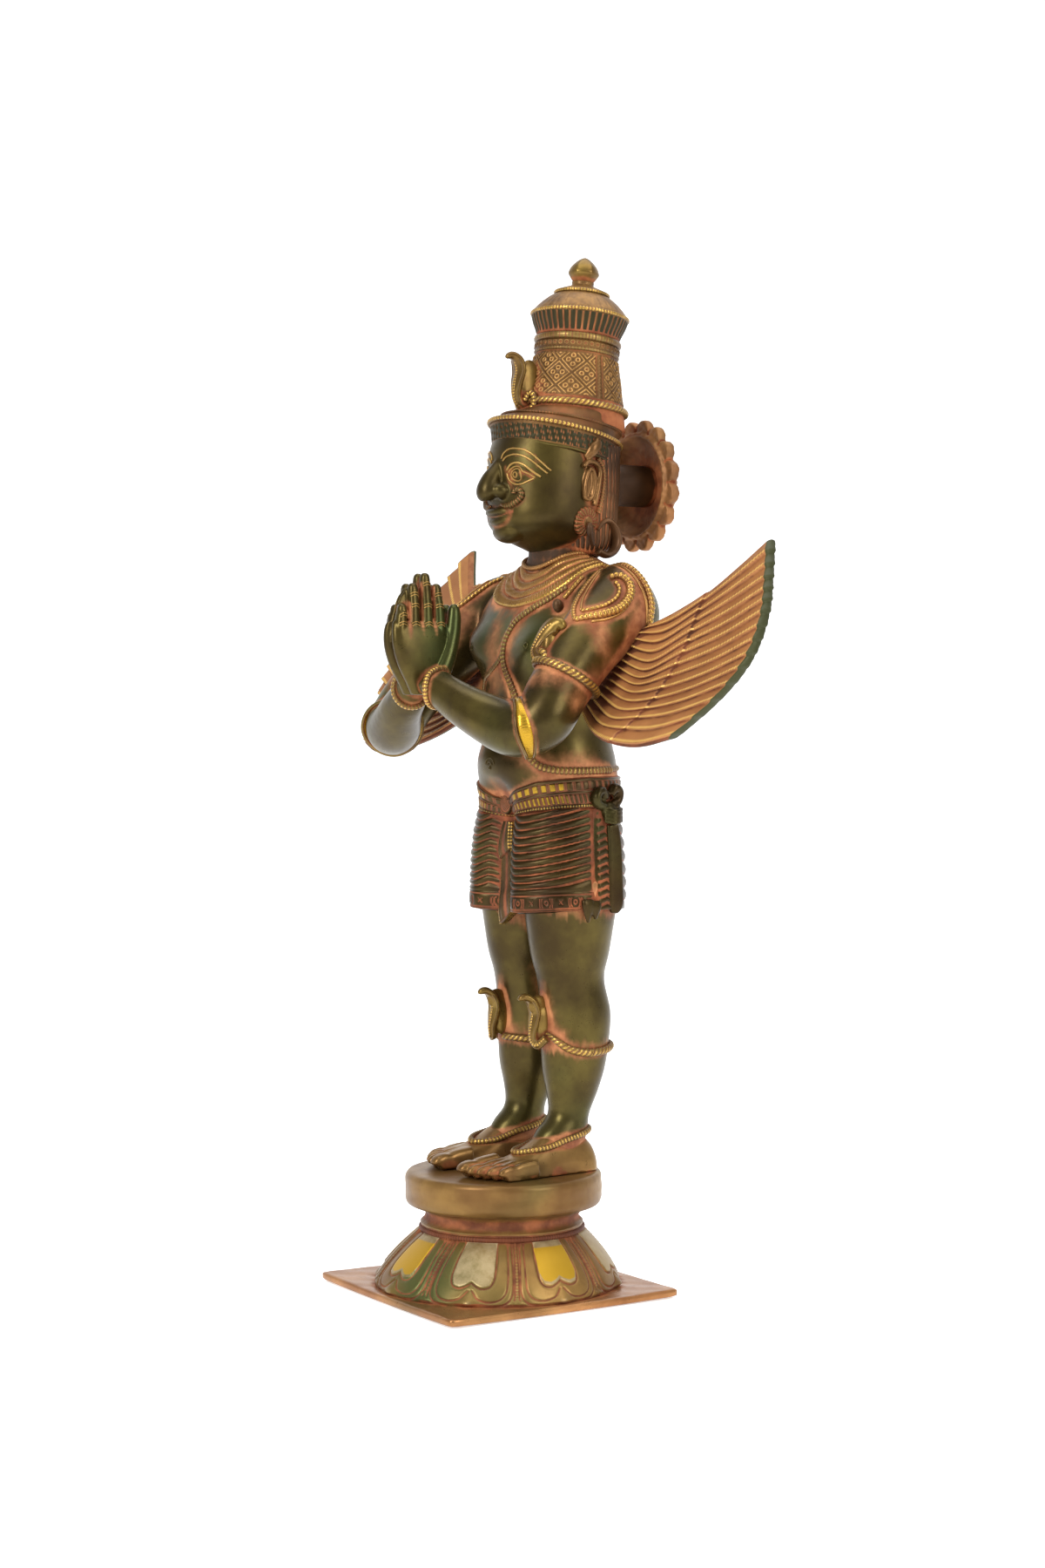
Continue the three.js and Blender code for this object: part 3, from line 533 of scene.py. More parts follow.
def hand(side):
    levels = smooth_line(palm_levels, 50)
    angle = around(48)[None, :]
    thick, wide = oval(angle, 0.5 * levels[:, 2:3], levels[:, 3:4], 2.6)
    x = side * (0.5 * levels[:, 2:3] + 0.15 + thick)
    forms = [level_net("palm_form", x, levels[:, 1:2] + wide, levels[:, 0:1])]
    for root, (tip, top) in zip(finger_roots, finger_tips):
        line = [
            [4.7, root, 310, 3.9, 4.0], [4.6, root * 0.98 + tip * 0.02, 318, 3.5, 3.9],
            [4.3, (root + tip) / 2, (318 + top) / 2, 3.1, 3.6], [3.9, tip, top - 7, 3.0, 3.3],
            [3.7, tip, top - 2.5, 2.8, 3.0], [3.5, tip, top - 0.8, 2.1, 2.2], [3.4, tip, top, 1.2, 1.2],
        ]
        forms.append(limb("finger_form", line, front=sideways, side=side, rows=50, columns=24, power=2.4))
    web = [[1.3, -54.5, z, wide, 1.15] for z, wide in ((312, 16), (325, 14.5), (334, 12), (340, 7.5))]
    forms.append(limb("web_form", web, front=sideways, side=side, rows=20, columns=40, power=3))
    thumb = [[6.4, -44, 288, 6, 6], [6.2, -38, 300, 5.4, 5.6], [5.4, -34, 312, 4.6, 4.9],
             [4.8, -32.2, 323, 4.1, 4.3], [4.5, -32, 329, 3.2, 3.3], [4.3, -32, 331.5, 1.4, 1.5]]
    forms.append(limb("thumb_form", thumb, side=side, rows=50, columns=24))
    return forms


hands = fused("hands_skin", hand(1) + hand(-1), 0.62, 2)
hands_tree = seen_from(hands)
keep(hands, "skin")


# %% [markdown]
# The face is part bird: a hooked nose like a beak, full round cheeks and wide eyes. The head is a
# squarish stack with the nose, nostrils, lips, chin and eyeballs pressed into it, fused at a fine voxel.

# %% Head
head_levels = [
    [361, 44, 12, 12, 2], [365.6, 42, 18, 20, 2], [370, 39.2, 24, 27.4, 2], [375.4, 36.8, 29, 33.6, 2.1],
    [382, 36, 32, 36.2, 2.25], [392, 36.4, 33.2, 36.6, 2.25], [404, 37, 33.6, 37.4, 2.15],
    [417, 37.6, 33.6, 37.8, 2.1], [424, 38, 33.4, 37.4, 2.05], [434, 39, 33, 35, 2],
]


def head_stack():
    levels = smooth_line(head_levels, 90)
    angle = around(96)[None, :]
    x, y = oval(angle, levels[:, 2:3], levels[:, 3:4], levels[:, 4:5])
    return level_net("head_form", x, levels[:, 1:2] + y, levels[:, 0:1])


def face_forms():
    nose = [[0, 8, 421, 2.6, 3.2], [0, 3.6, 415, 3.8, 4.4], [0, -0.4, 409.4, 4.9, 5.2],
            [0, -3.9, 404.4, 6.0, 6.1], [0, -6.2, 399, 7.0, 6.6], [0, -6.9, 395.4, 6.4, 5.8],
            [0, -6.6, 392.6, 3.8, 3.4]]
    upper_lip = [[-13, 3.6, 385.0, 0.9, 1.4], [-8, 0.2, 386.4, 2.3, 2.8], [0, -1.6, 386.2, 2.1, 3.2],
                 [8, 0.2, 386.4, 2.3, 2.8], [13, 3.6, 385.0, 0.9, 1.4]]
    lower_lip = [[-11, 3.6, 383.2, 1.0, 1.4], [-6.5, 1.4, 381.2, 2.1, 2.6], [0, 0.4, 380.6, 2.4, 3.0],
                 [6.5, 1.4, 381.2, 2.1, 2.6], [11, 3.6, 383.2, 1.0, 1.4]]
    forms = [
        limb("nose_form", nose, rows=50, columns=28),
        limb("upper_lip_form", upper_lip, rows=40, columns=20),
        limb("lower_lip_form", lower_lip, rows=40, columns=20),
        ball("muzzle_form", (0, 9.4, 386), (13, 9.5, 11)),
        ball("chin_form", (0, 9.2, 375.6), (13, 9.4, 7.4)),
    ]
    for side in (1, -1):
        forms.append(ball("nostril_form", (6.8, -0.6, 398), (4.8, 6.4, 4.6), side, turn=-10))
        forms.append(ball("eye_form", (15.0, 7.0, 407.4), (7.4, 5.6, 4.8), side))
    return forms


head = fused("head_skin", [head_stack(), *face_forms()], 0.8, 5)
head_tree = seen_from(head)
keep(head, "head")


# %% [markdown]
# The plinth's dome is an upturned lotus. Eight petals stand round it with a strip of stamens between each
# two. On each petal a double line is cut that runs down both sides and curls up to a raised tip in the
# middle, and inside it a heart. The four petals on the axes have a gilded heart. The whole relief is
# drawn once for half a petal, flat, in millimetres, and turned round the dome.

# %% Lotus dome
plate_top = 4.6
dome_height = 31.5
dome_base = 73
dome_top = 49
top_set_back = 3.4
petals = 8
petal_columns = 86
dome_rows = 64
petal_half = math.radians(22.5)
dome_run = 41
heart_line = [(0.46, 0.99), (0.5, 0.82), (0.51, 0.62), (0.49, 0.44), (0.4, 0.33), (0.24, 0.3), (0.1, 0.34),
              (0, 0.39)]
side_line = [(0.77, 1.0), (0.79, 0.75), (0.8, 0.45), (0.77, 0.25), (0.64, 0.13), (0.42, 0.09), (0.2, 0.14),
             (0.04, 0.27)]
outer_line = [(0.88, 1.0), (0.9, 0.75), (0.92, 0.45), (0.9, 0.2), (0.74, 0.05), (0.44, 0.0)]
stamen_edge = [(0.955, 1.0), (0.955, 0.2), (0.93, 0.12)]


def dome_radius(up):
    return dome_top + (dome_base - dome_top) * (1 - 0.85 * up**1.6 - 0.15 * up)


def petal_flat(share, up):
    """A place on a petal, drawn flat: across from its middle, and up from the plate."""
    return share * petal_half * dome_radius(up), up * dome_run


def petal_line(places):
    share, up = smooth_line(places, 60).T
    return np.stack(petal_flat(share, up), 1)


half_share = np.linspace(0, 1, petal_columns // 2 + 1)[None, :]
up = np.linspace(0, 1, dome_rows)[:, None]
flat_x, flat_y = petal_flat(half_share, up)
flat_y = flat_y + 0 * flat_x
heart = distance_to(petal_line(heart_line), flat_x, flat_y)
cuts = [groove_at(heart, 0.62)]
cuts += [groove_at(distance_to(petal_line(line), flat_x, flat_y), 0.58) for line in (side_line, outer_line)]
cuts.append(groove_at(distance_to(petal_line(stamen_edge), flat_x, flat_y), 0.42))
cut = np.max(cuts, 0)
lobe = np.interp(half_share, [0, 0.1, 0.24, 0.4, 0.5], [0.39, 0.34, 0.3, 0.33, 0.5])
in_heart = soft_step(0, 0.05, up - lobe) * soft_step(0, 0.03, 0.5 - half_share)
stamen = soft_step(0.955, 0.97, half_share) * soft_step(0.14, 0.2, up)
ticks = wave(full_turn * flat_y / 2.0)
tip = groove_at(flat_x, 5.5) * groove_at(flat_y - 3.5, 4.2)
leaf = groove_at(1 - half_share, 0.13) * groove_at(up - 0.07, 0.08)
body_of_petal = (1 - half_share**6) * 1.3
relief = body_of_petal + 0.5 * in_heart - 0.85 * cut + stamen * (0.9 + 0.35 * ticks)
relief = relief + 2.4 * tip + 1.5 * leaf
relief = relief * np.minimum(1, up * 12 + 0.2)
relief = relief - 1.5
cut_mark = np.clip(cut + stamen * (1 - ticks) * 0.6, 0, 1)
ridge_mark = np.clip(stamen * ticks * 0.5 + tip * 0.25, 0, 1)
bare_mark = np.clip(in_heart * 0.6 + tip * 0.5, 0, 1)
gilt_mark = in_heart * soft_step(0.05, 0.12, up - lobe) * (1 - soft_step(0.88, 0.95, up))


def round_dome(half_petal):
    """A drawing of half a petal, mirrored and repeated round the dome."""
    whole = np.concatenate([half_petal[:, ::-1], half_petal[:, 1:-1]], 1)
    return np.tile(whole, (1, petals))


angle = (np.arange(petals * petal_columns) / petal_columns - 0.5) / petals * full_turn
radius = dome_radius(up) + round_dome(relief)
rows = np.stack([
    radius * np.cos(angle), radius * np.sin(angle) + top_set_back * up,
    np.broadcast_to(plate_top - 0.3 + (dome_height + 0.3) * up, radius.shape),
], -1)
gilded = np.repeat([1, 0] * (petals // 2), petal_columns)[None, :]
plinth_dome = net(
    "lotus_dome", rows, groove=round_dome(cut_mark), ridge=round_dome(ridge_mark),
    bare=round_dome(bare_mark), gilt=round_dome(gilt_mark) * gilded,
)
keep(plinth_dome, "plinth")

# %% [markdown]
# The base plate is a square with rounded corners, hammered up a little at each corner, and the metal
# sweeps up to the dome's foot. Rings of a square, each smaller than the last, are skinned from its
# underside to the top.

# %% Base plate
plate_half = 77
plate_lift = 0.8
plate_rings = [
    (60, 0), (40, 0), (16, 0), (5, 0), (1.2, 0.1), (0.35, 0.5), (0, 1.1), (0, 2.3), (0, 3.5), (0.35, 4.1),
    (1.2, 4.5), (2.5, 4.6), (5, 4.6), (8, 4.62), (12, 4.7), (17, 4.8), (24, 4.9), (34, 5), (60, 5),
]
side_points = 64


def square_ring(inset, height):
    side = np.linspace(-1, 1, side_points, endpoint=False)
    flat = np.ones(side_points)
    x = np.concatenate([side, flat, -side, -flat])
    y = np.concatenate([-flat, side, flat, -side])
    corner = 1 - 0.012 * soft_step(0.94, 1, np.minimum(np.abs(x), np.abs(y)))
    half = plate_half - inset
    x, y = x * half * corner, y * half * corner
    far = np.clip((np.hypot(x, y) - dome_base) / (plate_half * math.sqrt(2) - dome_base), 0, 1)
    uneven = 0.16 * np.sin(x * 0.13 + 1) * np.cos(y * 0.11 + 2) + 0.1 * np.sin(x * 0.31 - y * 0.27)
    bent = plate_lift * far**1.4 * 0.97 + (uneven - 0.2) * (height > 4) * soft_step(0, 12, inset + 4)
    return np.stack([x, y, height + bent], 1)


plate = net("base_plate", [square_ring(*ring) for ring in plate_rings])
keep(plate, "plate", crease=50)

# %% [markdown]
# Above the dome come a notched ring, a plain ring, a waisted neck and the drum that the figure stands on.
# They are turned forms: a profile of radius and height is swept round.

# %% Rings, neck and drum
drum_columns = 160
unevenness = 0.12


def turned(name, profile, **marks):
    """A turned form through places [radius, height, set-back], closed at both ends."""
    profile = np.asarray(profile, float)
    angle = around(drum_columns)[None, :]
    rough = unevenness * (np.sin(3 * angle + profile[:, 1:2] * 0.5)
                          + 0.6 * np.sin(7 * angle - profile[:, 1:2] * 0.9))
    radius = profile[:, 0:1] + rough * (profile[:, 0:1] > 5)
    height = np.broadcast_to(profile[:, 1:2], radius.shape)
    rows = np.stack([radius * np.cos(angle), radius * np.sin(angle) + profile[:, 2:3], height], -1)
    return net(name, rows, **marks)


neck_profile = np.vstack([
    [[30, 35.2, 3.4], [44, 35.6, 3.4]],
    smooth_line([[48.6, 36.3, 3.4], [47.6, 38.9, 3.4], [48, 40.6, 3.4], [46.4, 42, 3.4], [45.4, 43.6, 3.4],
                 [45.6, 45.8, 3.8], [47, 48, 4.2], [49.6, 50, 4.5]], 26),
    smooth_line([[53.4, 50.6, 4.5], [56.6, 52, 4.5], [57.8, 54.4, 4.5]], 8),
    smooth_line([[58, 55.5, 4.5], [58, 62, 4.5], [57.9, 67.2, 4.5]], 10),
    smooth_line([[57.5, 68.6, 4.5], [56.3, 69.9, 4.5], [54.6, 70.45, 4.5]], 7),
    smooth_line([[52, 70.5, 4.5], [30, 70.5, 4.5], [4, 70.5, 4.5]], 9),
])
neck_depth = groove_at(neck_profile[:, 1:2] - 45, 4.6) * 0.9
top_dust = (neck_profile[:, 1:2] > 70.4) * 0.25 * np.ones((1, drum_columns))
drum = turned("drum", neck_profile, groove=np.maximum(neck_depth, top_dust) * np.ones((1, drum_columns)))
keep(drum, "plinth", crease=40)

ring_angle = around(48)
ring_x, ring_y = 47.6 * np.cos(ring_angle), 47.6 * np.sin(ring_angle) + 3.4
ring_place = np.stack([ring_x, ring_y, 37.4 + 0 * ring_angle], 1)
ring_normal = np.stack([np.cos(ring_angle), np.sin(ring_angle), 0 * ring_angle], 1)
notched = rope("notched_ring", ring_place, ring_normal, 1.7, 1.5, pitch=1.75, beads=0.14, columns=10,
               step=0.44, loop=True, gold=0.25)
keep(notched, "patina")


# %% [markdown]
# Each wing is one leaning plate. Short feathers run from the root to a dividing line and long ones from
# there to the rim; each feather rises slowly to a notched gold edge and drops steeply into a dark groove.
# The plate is a net over seven feather lines that fan out from the root, with its rim, back and root
# turned round behind.

# %% Wings
wing_lines = np.array([
    [[93, 389.5], [113, 396.0], [134, 405.4], [152, 419.0], [168, 433.0]],
    [[83, 381.5], [111, 379.5], [136, 389.7], [160, 400.6], [182, 412.4]],
    [[81, 370.4], [112, 364.2], [139, 373.4], [168, 382.6], [193, 394.5]],
    [[81, 360.7], [109, 354.0], [136, 357.3], [169, 365.0], [198.5, 376.0]],
    [[78, 353.2], [106, 345.2], [132, 345.4], [163, 350.8], [196.5, 361.0]],
    [[71.5, 346.4], [100, 336.1], [126, 335.4], [154, 337.0], [185.5, 344.0]],
    [[67, 340.0], [88, 330.0], [115, 323.4], [144, 321.6], [169, 326.0]],
])
wing_shares = [0, 0.2, 0.4, 0.58, 0.72, 0.86, 1]
root_reach = 17
feathers = 14
feather_rows = 11
wing_columns = 246
feather_height = 2.3
wing_half = 2.7
notch_pitch = 2.2
rise_end = 0.78
drop_end = 0.97
gold_at = 0.7
point_length = 1.3
end_reach = 1.4
back_columns = 26
rim_turn = np.radians([12, 35, 62, 90, 118, 145, 168])
far_height = 304


def wing_back(z):
    """How far back the middle of the plate stands, at a height in the figure's own frame."""
    return 28.2 + 0.577 * (z - 284) - 0.005 * np.minimum(z - 284, 0) ** 2


def wing_place(share, along):
    """Across and height of the plate: share down its feather lines, along from root to rim."""
    inward = wing_lines[:, :1] - wing_lines[:, 1:2]
    inward = inward / np.linalg.norm(inward, axis=2, keepdims=True)
    lines = np.concatenate([wing_lines[:, :1] + inward * root_reach, wing_lines], 1)
    down = through(lines, np.interp(share, wing_shares, range(7)))
    across = through(down.swapaxes(0, 1), along * 5)
    return across.swapaxes(0, 1)


def wing(side):
    share = np.linspace(0, 1, feathers * feather_rows + 1)
    along = np.linspace(0, 1, wing_columns)
    flat = wing_place(share, along)
    run = np.cumsum(np.linalg.norm(np.diff(flat, axis=1, prepend=flat[:, :1]), axis=2), 1)
    phase = (share[:, None] * feathers) % 1 + 0 * along
    phase[-1] = 1
    divide = 0.6 + 0.012 * np.cos(full_turn * (phase - gold_at))
    long_ones = soft_step(0, 0.008, along - divide)
    rise = np.where(phase < rise_end, (phase / rise_end) ** 1.2, 1 - soft_step(rise_end, drop_end, phase))
    edge = groove_at(phase - gold_at, 0.15)
    notch = wave(full_turn * (run / notch_pitch - phase * 1.6))
    from_root = soft_step(0.1, 0.24, along)
    layer = 1.5 * soft_step(0.3, 0.59, along) * (1 - long_ones)
    relief = from_root * (feather_height * rise - 0.5 * edge * (1 - notch)) + layer
    foot_of_feather = groove_at(phase - 0.02, 0.09) * 0.6
    groove = from_root * (np.clip(1 - rise * 2.2, 0, 1) * (phase > 0.5) + foot_of_feather)
    groove = np.maximum(groove, groove_at(along - divide - 0.006, 0.006) * 0.7)
    gold_edge = from_root * edge * (0.55 + 0.45 * notch)
    # The rim of the front face ends in small points, one for each feather.
    point = point_length * rise * soft_step(0.97, 1, along)
    outward = np.gradient(flat, axis=1)
    outward /= np.linalg.norm(outward, axis=2, keepdims=True)
    flat = flat + outward * (point - point_length * soft_step(0.97, 1, along))[..., None]

    back_along = np.linspace(1, 0, back_columns)
    rim_flat = flat[:, -1:] + outward[:, -1:] * (0.9 + 0.7 * np.sin(rim_turn))[None, :, None]
    front_lift = (wing_half + relief)[:, -1:]
    rim_lift = front_lift * np.cos(rim_turn / 2) ** 2 - wing_half * np.sin(rim_turn / 2) ** 2
    back_flat = wing_place(share, back_along)
    back_lift = -wing_half - 0.3 * np.sin(full_turn * share * feathers)[:, None]
    back_lift = back_lift + 0 * back_along
    whole = np.concatenate([flat, rim_flat, back_flat], 1)
    lift = np.concatenate([wing_half + relief, rim_lift, back_lift], 1)

    def beyond(first, second, turn):
        """An edge row, turned round a little beyond the first one."""
        way = first - second
        way /= np.maximum(np.linalg.norm(way, axis=1, keepdims=True), 1e-9)
        return first + way * end_reach * math.sin(turn)

    turns = np.radians([84, 60, 30])
    before = [beyond(whole[0], whole[3], turn) for turn in turns]
    after = [beyond(whole[-1], whole[-4], turn) for turn in turns[::-1]]
    whole = np.concatenate([before, whole, after])
    lift_before = [lift[0] * math.cos(turn) for turn in turns]
    lift_after = [lift[-1] * math.cos(turn) for turn in turns[::-1]]
    lift = np.concatenate([lift_before, lift, lift_after])

    def over_edges(values, rim, back):
        """Marks of the front face, with those of the rim and the back beside them, and the edge rows."""
        count = len(values)
        behind = [np.full((count, len(rim_turn)), rim), np.full((count, back_columns), back)]
        wide = np.concatenate([values, *behind], 1)
        return np.concatenate([wide[:1]] * 3 + [wide] + [wide[-1:]] * 3)

    x, z = whole[..., 0], whole[..., 1] - sole
    # The right wing is a little narrower and taller, as its tip in the photo shows.
    if side < 0:
        x = x * 0.96
        z = far_height + (z - far_height) * np.where(z > far_height, 1.2, 1.1)
    rows = np.stack([side * x, wing_back(z) - lift, z + sole], -1)
    return net(
        sided("wing", side), rows, groove=over_edges(groove, 0, 0.1), ridge=over_edges(gold_edge, 0, 0),
        bare=over_edges(0 * groove, 1, 0.75),
    )


for side in (1, -1):
    keep(wing(side), "wing")


# %% [markdown]
# The crown is a turned form that leans back a little. Its drawn-up body carries a net of double lines
# with four small circles in each diamond, and a beaded band down each side. Above it stand a pearl ring,
# a band of circles, a thick ring, a fluted cup with a notched rim, a low dome, a small cap and a faceted
# bud.

# %% Crown
lean = math.radians(6)
crown_foot = np.array([0, 52, 446.5 + sole])


def leaned(rows):
    """Places of the upright crown, leaned back and put on the head."""
    x, y, z = np.moveaxis(np.asarray(rows, float), -1, 0)
    turned_y = y * math.cos(lean) + z * math.sin(lean)
    turned_z = z * math.cos(lean) - y * math.sin(lean)
    return np.stack([x, turned_y, turned_z], -1) + crown_foot


def crown_net(name, profile, columns, relief=0.0, **marks):
    """A turned part of the crown from [radius, height] places, with a relief added to its radius."""
    profile = np.asarray(profile, float)
    angle = around(columns)[None, :]
    radius = profile[:, 0:1] + relief + 0 * angle
    height = np.broadcast_to(profile[:, 1:2], radius.shape)
    return net(name, leaned(np.stack([radius * np.cos(angle), radius * np.sin(angle), height], -1)),
               **marks)


def crown_ring(name, radius, height, half, high, **settings):
    angle = around(48)
    places = leaned(np.stack([radius * np.cos(angle), radius * np.sin(angle), height + 0 * angle], -1))
    out = np.stack([np.cos(angle), np.sin(angle), 0 * angle], -1)
    return rope(name, places, out, half, high, loop=True, **settings)


body_columns = 400
body_rows = 66
body_places = [[33, -8], [31.6, 0], [30.6, 5.2], [28.9, 12], [27.4, 20], [25.8, 27.5], [24.7, 34]]
body_profile = smooth_line(body_places, body_rows)
body_profile = np.vstack([[[20, -9]], body_profile, [[20, 34.6]]])
theta = around(body_columns)[None, :]
height = body_profile[:, 1:2]
cell_turn = math.radians(36)
cell_high = 16.0
p = theta / cell_turn + (height - 20) / cell_high
q = theta / cell_turn - (height - 20) / cell_high
to_line = np.minimum(np.abs((p + 0.5) % 1 - 0.5), np.abs((q + 0.5) % 1 - 0.5)) * 12
double_line = groove_at(to_line - 1.0, 0.55)
in_p, in_q = p % 1 - 0.5, q % 1 - 0.5
ring_gap = np.full(in_p.shape, 9.0)
for a in (-0.17, 0.17):
    for b in (-0.17, 0.17):
        ring_gap = np.minimum(ring_gap, np.hypot(in_p - a, in_q - b) * 12)
circles = groove_at(ring_gap - 1.2, 0.6)
pit = groove_at(ring_gap, 0.55)
net_zone = within(height, 6, 7.5, 32, 33.2)
from_band = np.minimum(np.abs((theta + math.pi) % full_turn - math.pi), np.abs(theta - math.pi)) * 27
band = 1 - soft_step(2.6, 2.9, from_band)
outside = (1 - band) * net_zone
beads_up = wave(full_turn * height / 2.1) * groove_at(from_band, 0.9)
band_line = groove_at(from_band - 2.1, 0.4)
raised = outside * (0.8 * circles - 0.5 * pit + 0.75 * double_line - 0.3 * groove_at(to_line, 0.4))
raised = raised + band * net_zone * (0.75 * beads_up - 0.5 * band_line)
cut = outside * np.clip(0.45 + pit - double_line, 0, 1) * 0.7 + band * net_zone * band_line
cut = np.maximum(cut, 1 - soft_step(5.5, 7, height)) + 0 * theta
tops = outside * np.maximum(circles * 0.8, double_line * 0.75) + band * net_zone * beads_up * 0.6
ground = outside * np.clip(0.55 - circles - double_line, 0, 1)
keep(crown_net("crown_body", body_profile, body_columns, raised, groove=cut * 0.8, ridge=tops, bare=ground),
     "crown")

belt_profile = smooth_line([[24.5, 33.6], [24.8, 36.2], [25.1, 37], [25.1, 40], [24.5, 41], [24.3, 45.4]],
                           30)
belt_profile = np.vstack([[[20, 33.4]], belt_profile, [[20, 45.6]]])
ring_count = 42
band_columns = 8 * ring_count
theta = around(band_columns)[None, :]
ring_gap = np.hypot(((theta * ring_count / full_turn) % 1 - 0.5) * 3.75, belt_profile[:, 1:2] - 38.5)
circles = groove_at(ring_gap - 1.15, 0.45)
keep(crown_net("circle_band", belt_profile, band_columns, 0.55 * circles - 0.3 * groove_at(ring_gap, 0.6),
               ridge=circles * 0.6, groove=groove_at(ring_gap, 0.7)), "crown")

cup_profile = smooth_line([[24.4, 45], [25.6, 48.5], [27.3, 52.4], [28.3, 55.4], [28.9, 57.6]], 24)
dome_profile = smooth_line([[28.6, 59.2], [26.9, 61.6], [23.4, 65.4], [19.4, 68.8], [15.8, 71.0]], 30)
cone_profile = smooth_line([[15.9, 72.9], [13.6, 74.1], [9.4, 75.8], [7.2, 76.6], [6.5, 77.8], [6.7, 79.2]],
                           18)
top_profile = np.vstack([[[18, 44.6]], cup_profile, dome_profile, cone_profile, [[1, 79.3]]])
flutes = 44
cup_columns = 288
theta = around(cup_columns)[None, :]
height = top_profile[:, 1:2]
flute_zone = within(height, 45.5, 47, 56.4, 57.4)
flute = wave(theta * flutes)
rib_zone = within(height, 60, 62, 68.5, 70.5)
rib = groove_at(np.abs((theta * 30 / full_turn) % 1 - 0.5), 0.12)
relief = flute_zone * (0.75 * flute**0.6 - 0.5) - rib_zone * 0.28 * rib
keep(crown_net(
    "crown_top", top_profile, cup_columns, relief,
    groove=flute_zone * np.clip(1 - flute * 4, 0, 1) * 0.8 + rib_zone * rib * 0.3,
    ridge=0.5 * soft_step(58.5, 60, height) + 0 * theta, bare=flute_zone * np.clip(flute * 3 - 0.3, 0, 0.9),
), "crown")

bud_profile = smooth_line([[5.6, 79], [7.2, 81.2], [8.8, 83.8], [8.9, 85.2], [7.6, 88.4], [4.9, 91.6],
                           [2.2, 93.6], [0.3, 94.3]], 34)
bud_columns = 72
theta = around(bud_columns)[None, :]
facet = 0.055 * (1 - np.abs(np.sin(theta * 3))) * bud_profile[:, 0:1]
facet = np.vstack([0 * facet[:1], facet]) - 0.25
keep(crown_net("bud", np.vstack([[[1, 78.9]], bud_profile]), bud_columns, facet, ridge=0.42), "snake")

for ring in (
    crown_ring("cap_beads", 15.9, 72.0, 1.15, 1.0, pitch=1.7, beads=0.2, columns=10, step=0.48),
    crown_ring("rim_beads", 28.2, 58.3, 1.35, 1.5, pitch=1.9, beads=0.2),
    crown_ring("thick_ring", 24.6, 42.9, 2.1, 1.6, pitch=1.9, beads=0.07, columns=14, step=0.55, gold=0.6),
    crown_ring("pearl_ring", 24.6, 35.3, 1.0, 0.95, pitch=1.9, beads=0.3, columns=8, gold=0.5),
    crown_ring("snake_ring", 32.0, 2.6, 2.3, 2.1, pitch=3.0, lobes=3, depth=0.25, columns=14, gold=0.9),
):
    keep(ring, "ornament")

# %% [markdown]
# A headband circles the brow, tilted down to the back, with slanted cuts and a notched gold rim. A smooth
# cap slopes from it to the crown's foot.

# %% Headband and cap
def tilted_rows(levels, columns, relief=0.0):
    """Ovals round the head: [centre y, centre z, half width, half depth, slope down to the back]."""
    levels = np.asarray(levels, float)
    angle = around(columns)[None, :]
    out_x = (levels[:, 2:3] + relief) * np.cos(angle)
    out_y = (levels[:, 3:4] + relief) * np.sin(angle)
    z = levels[:, 1:2] - levels[:, 4:5] * out_y
    return np.stack([out_x, levels[:, 0:1] + out_y, z + sole], -1)


band_levels = np.vstack([
    [[40.5, 419, 28, 31, 0.2]],
    smooth_line([[40.5, 420.2, 33.2, 36, 0.2], [40.5, 421.2, 35.2, 38, 0.2], [40.5, 426, 35.7, 38.5, 0.2],
                 [40.4, 430.6, 36, 39, 0.2], [40.4, 432.4, 36.4, 39.4, 0.2]], 26),
    smooth_line([[41.4, 435.6, 35, 37.4, 0.2], [43.6, 438, 34.2, 36.6, 0.17], [47, 441, 33, 35, 0.14],
                 [50, 444.6, 32, 32.6, 0.12], [52, 447, 31, 31, 0.1]], 20),
    [[52, 447.5, 25, 25, 0.1]],
])
headband_columns = 360
band_strokes = 58
theta = around(headband_columns)[None, :]
level = band_levels[:, 1:2]
stroke_turn = (theta * band_strokes + (level - 421) * 0.3 * np.sign(np.cos(theta))) / full_turn
from_pair = np.abs(np.abs((stroke_turn % 1) - 0.5) - 0.15)
cut = groove_at(from_pair, 0.05)
stroke_zone = within(level, 421.4, 422.2, 430.4, 431.2)
texture_zone = groove_at(level - 439.6, 0.8)
fine_tick = wave(theta * 120 + level)
relief = stroke_zone * (0.2 - 0.7 * cut) + texture_zone * 0.4 * fine_tick
head_band = net(
    "headband", tilted_rows(band_levels, headband_columns, relief),
    groove=np.maximum(stroke_zone * cut, soft_step(434, 436, level) * 0.45),
    ridge=texture_zone * fine_tick * 0.5, bare=stroke_zone * (1 - cut) * 0.8,
)
keep(head_band, "crown")
rim_places = tilted_rows([[40.5, 433.4, 36.8, 39.8, 0.2]], 60)[0]
rim_out = rim_places - np.array([0, 40.5, 433.4 + sole])
rim_out /= np.linalg.norm(rim_out, axis=1, keepdims=True)
keep(rope("headband_rim", rim_places, rim_out, 1.5, 1.5, pitch=2.5, beads=0.3, loop=True), "ornament")
cap_places = tilted_rows([[44.6, 439.2, 34.0, 36.0, 0.17]], 60)[0]
keep(rope("cap_cord", cap_places, rim_out, 0.9, 0.9, pitch=1.9, beads=0.25, columns=8, step=0.48, loop=True,
          gold=0.4), "crown")
low_places = tilted_rows([[40.5, 420.4, 34.6, 37.4, 0.2]], 60)[0]
keep(rope("headband_foot", low_places, rim_out, 1.0, 1.0, pitch=30, columns=8, step=1.2, loop=True,
          gold=0.3), "skin")

# %% [markdown]
# Hair falls behind the ears in upright locks.

